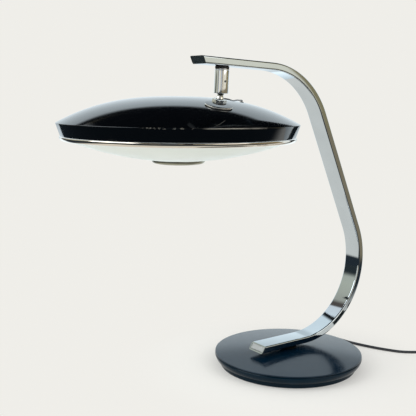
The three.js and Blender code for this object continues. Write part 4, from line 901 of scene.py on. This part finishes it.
def head_wire():
    """The thin lead from the neck to the dome, and the rubber ring that it goes through."""

    def along_neck(reach):
        return NECK_IN_SHADE @ polar(reach, LEAD_TURN, NECK_DROP - LEAD_DROP)

    def over_grommet(height):
        return GROMMET_IN_SHADE @ Vector((0, 0, height))

    out, top = along_neck(2 * COLLAR_RADIUS), over_grommet(LEAD_ARCH)
    on_dome = []
    for share, lift in LEAD_LIFTS:
        point = out.lerp(top, share)
        point.z = dome_height(math.hypot(point.x, point.y)) + lift
        on_dome.append(point)
    path = smooth_path([
        along_neck(COLLAR_RADIUS + SEAT), out, *on_dome, top, over_grommet(GROMMET_LIP + SEAT),
        over_grommet(-SHADE_WALL - GROMMET_LIP),
    ], LEAD_STEP)
    curve = cord_curve("head_wire", [SHADE @ p for p in path], LEAD_RADIUS)
    finished(curve, "shade", ["head_lead"], "cable", mirrored=False)
    waist, lip = GROMMET_WAIST, GROMMET_WAIST + GROMMET_RIM
    under = -SHADE_WALL - GROMMET_RIM
    ring = rounded([
        (LEAD_RADIUS, under), (lip, under), (lip, -SHADE_WALL - SEAT), (waist, -SHADE_WALL - SEAT),
        (waist, SEAT / 2), (lip, SEAT / 2), (waist, GROMMET_RIM), (LEAD_RADIUS, GROMMET_RIM),
    ], GROMMET_EDGE)
    add_mesh("wire_ring", turned(ring, THIN, GROMMET), "shade", "head_grommet", "rubber")


# Shade. The photograph's arm reflects the table past the saucer and the glass, so no mirror sees them.

def shade_shell():
    rings = [SHADE_RADIUS * (1 - (1 - k / DOME_STEPS) ** DOME_CROWDING) for k in range(DOME_STEPS)]
    radii = [r for r in rings if r < SHADE_RADIUS - 2 * CREASE]
    outer = [(r, dome_height(r)) for r in radii]
    corner = (BAND_FOOT_RADIUS, -BAND_DEPTH)
    crease = rounded([outer[-1], (SHADE_RADIUS, 0), corner], CREASE, closed=False, steps=CREASE_STEPS)[:-1]
    radius, height = crease[-1]
    band = []
    for k in range(1, BAND_STEPS):
        share = k / BAND_STEPS
        band.append((lerp(radius, BAND_FOOT_RADIUS, share), lerp(height, -BAND_DEPTH, share)))
    inner = [(r, dome_height(r) - SHADE_WALL) for r in reversed(radii[::2])]
    wall = (BAND_FOOT_RADIUS - SHADE_WALL, -BAND_DEPTH)
    foot = rounded([band[-1], corner, wall, inner[0]], BAND_FOOT_EDGE, closed=False)
    profile = outer[:-1] + crease + band[:-1] + foot[:-1] + inner
    neck_hole = rod(THREAD_RADIUS + SLIP, -NECK_TAIL, NECK_TAIL, HOLE, NECK_IN_SHADE)
    reach = 2 * GROMMET_WAIST
    lead_hole = rod(GROMMET_WAIST + SEAT, -reach, reach, LEAD_HOLE, GROMMET_IN_SHADE)
    mesh = bored(turned(profile, WIDE), neck_hole, lead_hole)
    mesh.transform(Matrix.Scale(MM, 4) @ SHADE @ Matrix.Scale(1 / MM, 4))
    add_mesh("saucer", mesh, "shade", "shade_shell", "black_lacquer", mirrored=False)


BEZEL_TOP = -BAND_DEPTH - SEAT
BEZEL_FOOT = BEZEL_TOP - BEZEL_HEIGHT
BEZEL_OPENING = BEZEL_RADIUS - BEZEL_INSET
GLASS_RIM_FOOT = BEZEL_FOOT + BEZEL_WALL + SEAT
GLASS_RADIUS = BEZEL_OPENING - SLIP


def bezel():
    shoulder = BEZEL_TOP - BEZEL_WALL
    curl = []
    for k in range(1, BEZEL_STEPS + 1):
        angle = k / BEZEL_STEPS * math.pi / 2
        inset = (BEZEL_INSET - BEZEL_WALL) * (1 - math.cos(angle))
        curl.append((BEZEL_RADIUS - inset, shoulder - (BEZEL_HEIGHT - BEZEL_WALL) * math.sin(angle)))
    wall = BEZEL_OPENING + GLASS_RIM + SLIP
    lip = BEZEL_FOOT + BEZEL_WALL
    profile = rounded([
        (wall, BEZEL_TOP), (BEZEL_RADIUS - BEZEL_WALL / 2, BEZEL_TOP), (BEZEL_RADIUS, shoulder), *curl,
        (BEZEL_OPENING, BEZEL_FOOT), (BEZEL_OPENING, lip), (wall, lip),
    ], BEZEL_EDGE)
    mesh = turned(profile, WIDE, SHADE)
    add_mesh("bezel", mesh, "shade", "bezel_ring", "bezel_metal", mirrored=False)


def glass_foot(radius):
    return GLASS_RIM_FOOT - GLASS_DEPTH * (1 - (radius / GLASS_RADIUS) ** GLASS_POWER)


def lens():
    radii = [lerp(GLASS_RADIUS, GLASS_HOLE, k / GLASS_STEPS) for k in range(GLASS_STEPS + 1)]
    lower = [(r, glass_foot(r)) for r in radii]
    upper = [(r, glass_foot(r) + GLASS) for r in radii[1:]]
    rim = GLASS_RADIUS + GLASS_RIM
    profile = [(rim, GLASS_RIM_FOOT + GLASS), (rim, GLASS_RIM_FOOT), *lower, *reversed(upper)]
    mesh = turned(rounded(profile, GLASS_EDGE), WIDE, SHADE)
    add_mesh("lens", mesh, "shade", "diffuser_glass", "frosted_glass", mirrored=False)


def centre_disc():
    top = glass_foot(DISC_RADIUS) - DISC_GAP
    foot = top - DISC_DEPTH
    floor = foot + DISC_WALL
    boss = glass_foot(GLASS_HOLE) - DISC_GAP
    bore = ROD_RADIUS + SEAT
    outer = [(DISC_RADIUS * share, top - DISC_DEPTH * depth) for share, depth in DISC_SHARES]
    inner = [(r - DISC_WALL, min(z + DISC_WALL, top)) for r, z in outer[1:-1]]
    profile = rounded([
        (0, foot), *reversed(outer), (DISC_RADIUS - DISC_WALL, top), *inner, (DISC_BOSS, floor),
        (DISC_BOSS, boss), (bore, boss), (bore, floor), (0, floor),
    ], DISC_EDGE)
    mesh = turned(profile, WIDE // 2, SHADE)
    add_mesh("lens_cap", mesh, "shade", "centre_disc", "cap_metal", mirrored=False)


# Looks

class Nodes:
    """A tree of shader nodes, and the few kinds of step that it is made of."""

    def __init__(self, tree, coordinates, light):
        self.tree = tree
        self.light = light
        self.place = self.add("ShaderNodeTexCoord").outputs[coordinates]

    def add(self, kind, **settings):
        node = self.tree.nodes.new(kind)
        for key, value in settings.items():
            setattr(node, key, value)
        return node

    def put(self, value, socket):
        """Links another node's output to the socket, or sets its value. Colours come without alpha."""
        if isinstance(value, bpy.types.NodeSocket):
            self.tree.links.new(value, socket)
        elif socket.type == "RGBA":
            socket.default_value = (*value, 1)
        else:
            socket.default_value = value

    def put_all(self, values, node):
        for value, socket in zip(values, node.inputs):
            self.put(value, socket)

    def math(self, operation, *values):
        node = self.add("ShaderNodeMath", operation=operation)
        self.put_all(values, node)
        return node.outputs["Value"]

    def vector(self, operation, *values):
        node = self.add("ShaderNodeVectorMath", operation=operation)
        self.put_all(values, node)
        return node.outputs["Value" if operation in ("DOT_PRODUCT", "LENGTH") else "Vector"]

    def along(self, direction):
        """How far the point, or the world's ray, lies in that direction."""
        return self.vector("DOT_PRODUCT", self.place, direction)

    def range(self, value, low, high, to_low=0, to_high=1):
        """Goes smoothly from to_low to to_high while the value goes from low to high."""
        node = self.add("ShaderNodeMapRange", interpolation_type="SMOOTHSTEP")
        self.put_all((value, low, high, to_low, to_high), node)
        return node.outputs["Result"]

    def colors(self, value, *stops):
        """A colour ramp from pairs of position and colour."""
        node = self.add("ShaderNodeValToRGB")
        ramp = node.color_ramp
        while len(ramp.elements) < len(stops):
            ramp.elements.new(0.5)
        for element, (position, color) in zip(ramp.elements, stops):
            element.position = position
            element.color = (*color, 1)
        self.put(value, node.inputs["Fac"])
        return node.outputs["Color"]

    def glow(self, color, strength=1):
        """Plain light: an emission in a material, a background in the world."""
        node = self.add(self.light)
        self.put_all((color, strength), node)
        return node.outputs[0]

    def blend(self, share, first, second):
        """The first shader where the share is 0, the second where it is 1."""
        node = self.add("ShaderNodeMixShader")
        self.put_all((share, first, second), node)
        return node.outputs["Shader"]

    def ray(self, question):
        """What Blender says of a ray: whether it is of a kind, or how often it was reflected."""
        return self.add("ShaderNodeLightPath").outputs[question]

    def seen_again(self):
        """1 in a reflection of a reflection, 0 elsewhere."""
        return self.math("GREATER_THAN", self.ray("Glossy Depth"), MIRRORED_TWICE)

    def show(self, surface, output="Material Output"):
        self.put(surface, self.tree.nodes[output].inputs["Surface"])


class Look(Nodes):
    """A material of one Principled shader, with a few procedural layers on it."""

    def __init__(self, name, color, roughness, metallic=0, **sockets):
        self.material = bpy.data.materials.new(name)
        self.material.use_nodes = True
        super().__init__(self.material.node_tree, "Object", "ShaderNodeEmission")
        self.shader = self.tree.nodes["Principled BSDF"]
        self.dress(Base_Color=color, Roughness=roughness, Metallic=metallic, **sockets)

    def dress(self, **sockets):
        """Puts values or other nodes' outputs into the shader's sockets."""
        for socket, value in sockets.items():
            self.put(value, self.shader.inputs[socket.replace("_", " ")])

    def noise(self, size, detail):
        """Noise with features of about that size in millimetres."""
        node = self.add("ShaderNodeTexNoise")
        self.put(self.place, node.inputs["Vector"])
        self.put(1 / (size * MM), node.inputs["Scale"])
        self.put(detail, node.inputs["Detail"])
        return node.outputs["Fac"]

    def relief(self, height, depth):
        """Bump from a height of 0 to 1, depth millimetres deep."""
        node = self.add("ShaderNodeBump")
        self.put(1, node.inputs["Strength"])
        self.put(depth * MM, node.inputs["Distance"])
        self.put(height, node.inputs["Height"])
        self.dress(Normal=node.outputs["Normal"])


NOISE_SPAN = (0.3, 0.7)  # most of a noise's values lie between these
CLOUD_DETAIL = 4
WEAR_DETAIL = 3
GRAIN_DETAIL = 2
CLOUD_SPREAD = 0.12
GLOSS_SPREAD = 0.15
FITTING_BEVEL = 0.8
FITTING_BEVEL_STEPS = 3

# Each finish has clouds in its colour, about spot millimetres wide and as strong as spread, and a grain in
# its surface, of about that width and depth in millimetres.
METALS = {
    "chrome": dict(color=(0.555, 0.61, 0.64), roughness=0.05, spot=24, grain=60, depth=0.006, spread=0.03),
    "polished": dict(color=(0.68, 0.69, 0.69), roughness=0.07, spot=8, grain=12, depth=0.004, spread=0.03),
    "bezel_metal": dict(color=(0.7, 0.64, 0.55), roughness=0.07, spot=8, grain=12, depth=0.004, spread=0.03),
    "nickel": dict(color=(0.78, 0.77, 0.72), roughness=0.28, spot=6, grain=0.6, depth=0.004, spread=0.04),
    "flange_metal": dict(color=(0.95, 0.9, 0.84), roughness=0.45, spot=6, grain=0.6, depth=0.002),
    "cap_metal": dict(color=(0.33, 0.32, 0.24), roughness=0.35, spot=9, grain=0.5, depth=0.01),
    "steel": dict(color=(0.52, 0.52, 0.51), roughness=0.32, spot=4, grain=0.3, depth=0.01),
    "brass": dict(color=(0.6, 0.43, 0.17), roughness=0.28, spot=3, grain=0.3, depth=0.01),
    "iron": dict(
        color=(0.09, 0.09, 0.095), roughness=0.75, spot=6, grain=1.2, depth=0.25, spread=0.3, metallic=0.7,
    ),
}
OTHERS = {
    "satin_black": dict(
        color=(0.001, 0.01, 0.022), roughness=0.17, spot=22, grain=0.5, depth=0.001, IOR=1.37,
        Specular_Tint=(0.8, 0.94, 1),
    ),
    "skirt_black": dict(
        color=(0.001, 0.011, 0.021), roughness=0.16, spot=22, grain=0.5, depth=0.001, Specular_IOR_Level=0.12,
    ),
    "dark_plastic": dict(
        color=(0.002, 0.003, 0.003), roughness=0.7, spot=5, grain=0.3, depth=0.02, Specular_IOR_Level=0.05,
    ),
    "black_plastic": dict(color=(0.012, 0.02, 0.022), roughness=0.4, spot=5, grain=0.3, depth=0.015),
    "grey_plug": dict(color=(0.42, 0.44, 0.43), roughness=0.42, spot=4, grain=0.3, depth=0.015),
    "nylon": dict(color=(0.72, 0.69, 0.6), roughness=0.45, spot=4, grain=0.3, depth=0.01, spread=0.05),
    "rubber": dict(color=(0.012, 0.012, 0.013), roughness=0.6, spot=3, grain=0.2, depth=0.02),
    "cable": dict(color=(0.02, 0.021, 0.026), roughness=0.38, spot=6, grain=0.4, depth=0.02),
    "felt": dict(color=(0.02, 0.028, 0.024), roughness=0.95, spot=4, grain=0.25, depth=0.2, spread=0.35),
    # The glass's faint emission is a painted glow, standing in for light that comes through the frosted
    # glass.
    "frosted_glass": dict(
        color=(0.7, 0.75, 0.7), roughness=0.35, spot=60, grain=60, depth=0.01, spread=0.03, IOR=1.5,
        Emission_Color=(0.7, 0.75, 0.7), Emission_Strength=0.12,
    ),
    "bulb_glass": dict(color=(0.86, 0.85, 0.8), roughness=0.2, spot=12, grain=0.5, depth=0.005, spread=0.02),
    "porcelain": dict(color=(0.78, 0.75, 0.68), roughness=0.2, spot=8, grain=2, depth=0.02, spread=0.04),
}

LACQUER = (0.0008, 0.0012, 0.0018)
LACQUER_SHEEN = (0.9, 0.97, 1)
LACQUER_IOR = 1.6
LACQUER_ROUGHNESS = (0.07, 0.1)
LACQUER_CLOUD = 30
BARE_METAL = (0.5, 0.48, 0.42)
EDGE_WEAR = 0.3
SPECK = 4
SPECK_FROM = (0.52, 0.58)  # of the noise's values
THIN_WEAR = 12
THIN_WEAR_SPAN = (0.3, 0.6)
THIN_WEAR_SHARES = (0.25, 0.8)
# Places on the dome, from the middle of its crease: the middles of the worn specks, of the worn line and of
# the scratch, which is a stretch of a circle round its centre. Beside each are the distances from there at
# which it begins to fade and is gone.
SPECKS_AT, SPECKS_REACH = (-105, -133.7, 0), (14, 34)
LINE_AT, LINE_REACH = (-26, -168, 0), (30, 48)
SCRATCH_AT, SCRATCH_REACH = (-42, -153.9, 5.6), (7, 15)
SCRATCH_CENTRE = (-65.2, -92.6, 5.6)
SCRATCH_WIDTH = 0.16
SCRATCH_SHARE = 0.2


def mottled(name, color, roughness, spot, grain, depth, spread=CLOUD_SPREAD, **sockets):
    """A plain finish with slight clouds in its colour and gloss, and a fine grain in its surface."""
    look = Look(name, color, roughness, **sockets)
    dark, pale = (tuple(min(c * share, 1) for c in color) for share in (1 - spread, 1 + spread))
    low, high = NOISE_SPAN
    glossy, dull = roughness * (1 - GLOSS_SPREAD), min(roughness * (1 + GLOSS_SPREAD), 1)
    look.dress(
        Base_Color=look.colors(look.noise(spot, CLOUD_DETAIL), (low, dark), (high, pale)),
        Roughness=look.range(look.noise(spot / 2, CLOUD_DETAIL), low, high, glossy, dull),
    )
    look.relief(look.noise(grain, GRAIN_DETAIL), depth)
    return look.material


def lacquer():
    """Black lacquer, worn to bare metal in small spots along the shade's crease, with one fine scratch."""
    look = Look("black_lacquer", LACQUER, LACQUER_ROUGHNESS[1], IOR=LACQUER_IOR, Specular_Tint=LACQUER_SHEEN)
    clouds = look.noise(LACQUER_CLOUD, WEAR_DETAIL)
    look.dress(Roughness=look.range(clouds, *NOISE_SPAN, *LACQUER_ROUGHNESS))

    def distance(point, flat=False):
        """The distance from a place on the shade, or from the upright line through it."""
        offset = look.vector("SUBTRACT", look.place, (SHADE.translation + Vector(point)) * MM)
        if flat:
            offset = look.vector("MULTIPLY", offset, (1, 1, 0))
        return look.vector("LENGTH", offset)

    def line(value, middle, half_width):
        """1 where the value is within half_width of the middle, in millimetres, falling to 0 outside."""
        off = look.math("ABSOLUTE", look.math("SUBTRACT", value, middle * MM))
        return look.range(off, half_width * MM, 2 * half_width * MM, 1, 0)

    def near(point, reach):
        """1 within the first distance of the place, falling to 0 at the second."""
        return look.range(distance(point), reach[0] * MM, reach[1] * MM, 1, 0)

    edge = line(distance((0, 0, 0), flat=True), SHADE_RADIUS, EDGE_WEAR)
    specks = look.range(look.noise(SPECK, CLOUD_DETAIL), *SPECK_FROM)
    specks = look.math("MULTIPLY", specks, near(SPECKS_AT, SPECKS_REACH))
    thin = look.range(look.noise(THIN_WEAR, WEAR_DETAIL), *THIN_WEAR_SPAN, *THIN_WEAR_SHARES)
    thin = look.math("MULTIPLY", thin, near(LINE_AT, LINE_REACH))
    worn = look.math("MULTIPLY", edge, look.math("MAXIMUM", specks, thin))
    radius = (Vector(SCRATCH_AT) - Vector(SCRATCH_CENTRE)).length
    arc = line(distance(SCRATCH_CENTRE, flat=True), radius, SCRATCH_WIDTH)
    scratch = look.math("MULTIPLY", arc, near(SCRATCH_AT, SCRATCH_REACH))
    bare = look.math("MAXIMUM", worn, look.math("MULTIPLY", scratch, SCRATCH_SHARE))
    look.dress(Base_Color=look.colors(bare, (0, LACQUER), (1, BARE_METAL)), Metallic=bare)
    return look.material


def make_looks():
    looks = {name: mottled(name, **{"metallic": 1, **finish}) for name, finish in METALS.items()}
    looks.update({name: mottled(name, **finish) for name, finish in OTHERS.items()})
    looks["black_lacquer"] = lacquer()
    return looks


def dress_nodes():
    """Gives each CAD node the look of its slot, and a small bevel to the plug and the switch.

    The pieces inside the stem are left out of reflections, as its sleeve is.
    """
    for part in frame["record"]["subparts"]:
        materials = nodes[part["node"]].data.materials
        materials.clear()
        materials.append(LOOKS[part["material_slot"]])
    for name in ("plug_body", "switch_lower", "switch_upper", "switch_rocker"):
        edges = nodes[name].modifiers.new("edges", "BEVEL")
        edges.limit_method = "ANGLE"
        edges.angle_limit = SHARP
        edges.width = FITTING_BEVEL * MM
        edges.segments = FITTING_BEVEL_STEPS
        flat_faces_kept(nodes[name])
    for name in ("stem_bolt", "stem_nut", "ball_spring", "ball_seat", "ball_liner", "set_screw"):
        nodes[name].visible_glossy = False


# Floor, light and backdrop

def add_sheet(name, corners, look):
    """A four-cornered sheet of the stage, with its corners in metres."""
    mesh = bpy.data.meshes.new(name)
    mesh.from_pydata([tuple(at) for at in corners], [], [(0, 1, 2, 3)])
    mesh.materials.append(look.material)
    sheet = bpy.data.objects.new(name, mesh)
    bpy.context.scene.collection.objects.link(sheet)
    return sheet


def add_reflected_sheet(name, corners, look):
    """A sheet that only reflections see."""
    sheet = add_sheet(name, corners, look)
    sheet.visible_camera = sheet.visible_diffuse = sheet.visible_transmission = sheet.visible_shadow = False


def square(reach):
    """The corners of a level square, from its middle."""
    return [Vector((x * reach, y * reach, 0)) for x, y in ((-1, -1), (1, -1), (1, 1), (-1, 1))]


def add_floor():
    """The table: it glows towards the backdrop's colour all round, and keeps the lamp's shadow near it."""
    look = Look("floor", BACKGROUND, FLOOR_ROUGHNESS, Specular_IOR_Level=0)
    far = look.range(look.vector("LENGTH", look.place), *FLOOR_BLEND)
    seen = look.blend(far, look.shader.outputs["BSDF"], look.glow(BACKGROUND))
    nearer = look.math("ADD", look.along(-AWAY), TABLE_NEAR)
    right_of_camera = look.math("ADD", look.along((TO_RIGHT - AWAY).normalized()), TABLE_RIGHT)
    sides = look.math("MAXIMUM", look.along(-TO_RIGHT), right_of_camera)
    reach = look.range(look.math("MAXIMUM", sides, nearer), *TABLE_REACH)
    dark = look.math("MULTIPLY", reach, look.ray("Is Glossy Ray"))
    dark = look.math("MAXIMUM", dark, look.seen_again())
    brown = look.range(look.along(TO_RIGHT), *TABLE_BROWN_FROM)
    beyond = look.blend(brown, look.glow(TABLE_BEYOND), look.glow(TABLE_BROWN))
    look.show(look.blend(dark, seen, beyond))
    add_sheet("floor", square(FLOOR_REACH), look)


def add_panel():
    """The pale panel that the dome and the base reflect. Nothing else sees it."""
    look = Look("panel", PANEL, 1)
    width, height = PANEL_SIZE
    stops = []
    for up, level in PANEL_LEVELS:
        stops.append((up / height, tuple(c * level for c in PANEL) if level else CEILING))
    upright = look.math("DIVIDE", look.along(UP), height)
    pale = look.glow(look.colors(upright, *stops))
    look.show(look.blend(look.seen_again(), pale, look.glow(CEILING)))
    foot = [AWAY * PANEL_AWAY + TO_RIGHT * side * width / 2 for side in (-1, 1)]
    top = [at + UP * height for at in reversed(foot)]
    add_reflected_sheet("panel", foot + top, look)


def add_shade_mirrored():
    """The saucer as the arm shows it to the dome and the base: a dark sheet, in their reflections alone."""
    look = Look("mirrored_shade", CEILING, 1)
    clear = look.add("ShaderNodeBsdfTransparent").outputs["BSDF"]
    look.show(look.blend(look.seen_again(), clear, look.glow(CEILING)))
    corners = [(SHADE.translation + at) * MM for at in square(SHADE_RADIUS / math.sqrt(2))]
    add_reflected_sheet("mirrored_shade", corners, look)


def add_world():
    """Camera and transmission rays see the plain backdrop, reflections see the rooms round it, and
    everything else is in a plain soft light."""
    world = bpy.data.worlds.new("studio")
    world.use_nodes = True
    sky = Nodes(world.node_tree, "Generated", "ShaderNodeBackground")
    room = sky.glow(ROOM)
    for place, half_width, color in ROOM_STRIPES:
        room = sky.blend(sky.math("COMPARE", sky.along(TO_RIGHT), place, half_width), room, sky.glow(color))
    room = sky.blend(sky.range(sky.along(UP), *ROOM_TOP), room, sky.glow(CEILING))
    room = sky.blend(sky.range(sky.along(AWAY), *RIGHT_ROOM_FROM), room, sky.glow(RIGHT_ROOM))
    room = sky.blend(sky.range(sky.along(UP), *CEILING_FROM), room, sky.glow(CEILING))
    left = sky.along(-TO_RIGHT)
    on_left = sky.range(left, LEFT_ROOM[0][0], LEFT_ROOM[1][0])
    room = sky.blend(on_left, room, sky.glow(sky.colors(left, *LEFT_ROOM[1:])))
    room = sky.blend(sky.seen_again(), room, sky.glow(CEILING))
    plain = sky.blend(sky.ray("Is Glossy Ray"), sky.glow(SOFT_LIGHT, SOFT_LEVEL), room)
    seen = sky.math("MAXIMUM", sky.ray("Is Camera Ray"), sky.ray("Is Transmission Ray"))
    sky.show(sky.blend(seen, plain, sky.glow(BACKGROUND)), "World Output")
    bpy.context.scene.world = world
    bpy.context.scene.view_settings.view_transform = "Standard"


def add_lamps():
    """Square area lights, turned to one point above the base."""
    target = PICTURE_TURN @ Vector(LAMP_TARGET)
    for name, (at, size, power, color) in LAMPS.items():
        light = bpy.data.lights.new(name, "AREA")
        light.shape = "SQUARE"
        light.size = size
        light.energy = power
        light.color = color
        lamp = bpy.data.objects.new(name, light)
        here = PICTURE_TURN @ Vector(at)
        aim = (target - here).to_track_quat("-Z", "Y").to_matrix().to_4x4()
        lamp.matrix_world = Matrix.Translation(here) @ aim
        bpy.context.scene.collection.objects.link(lamp)


LOOKS = make_looks()
add_camera()
add_cords()
for build in (
    base_top, base_band, base_pan, base_felt, cord_relief, foot_spacer, arm_tube, tip_cap, foot_end_plug,
    stem_pieces, neck, head_wire, shade_shell, bezel, lens, centre_disc, dress_nodes, add_floor, add_panel,
    add_shade_mirrored, add_world, add_lamps,
):
    build()
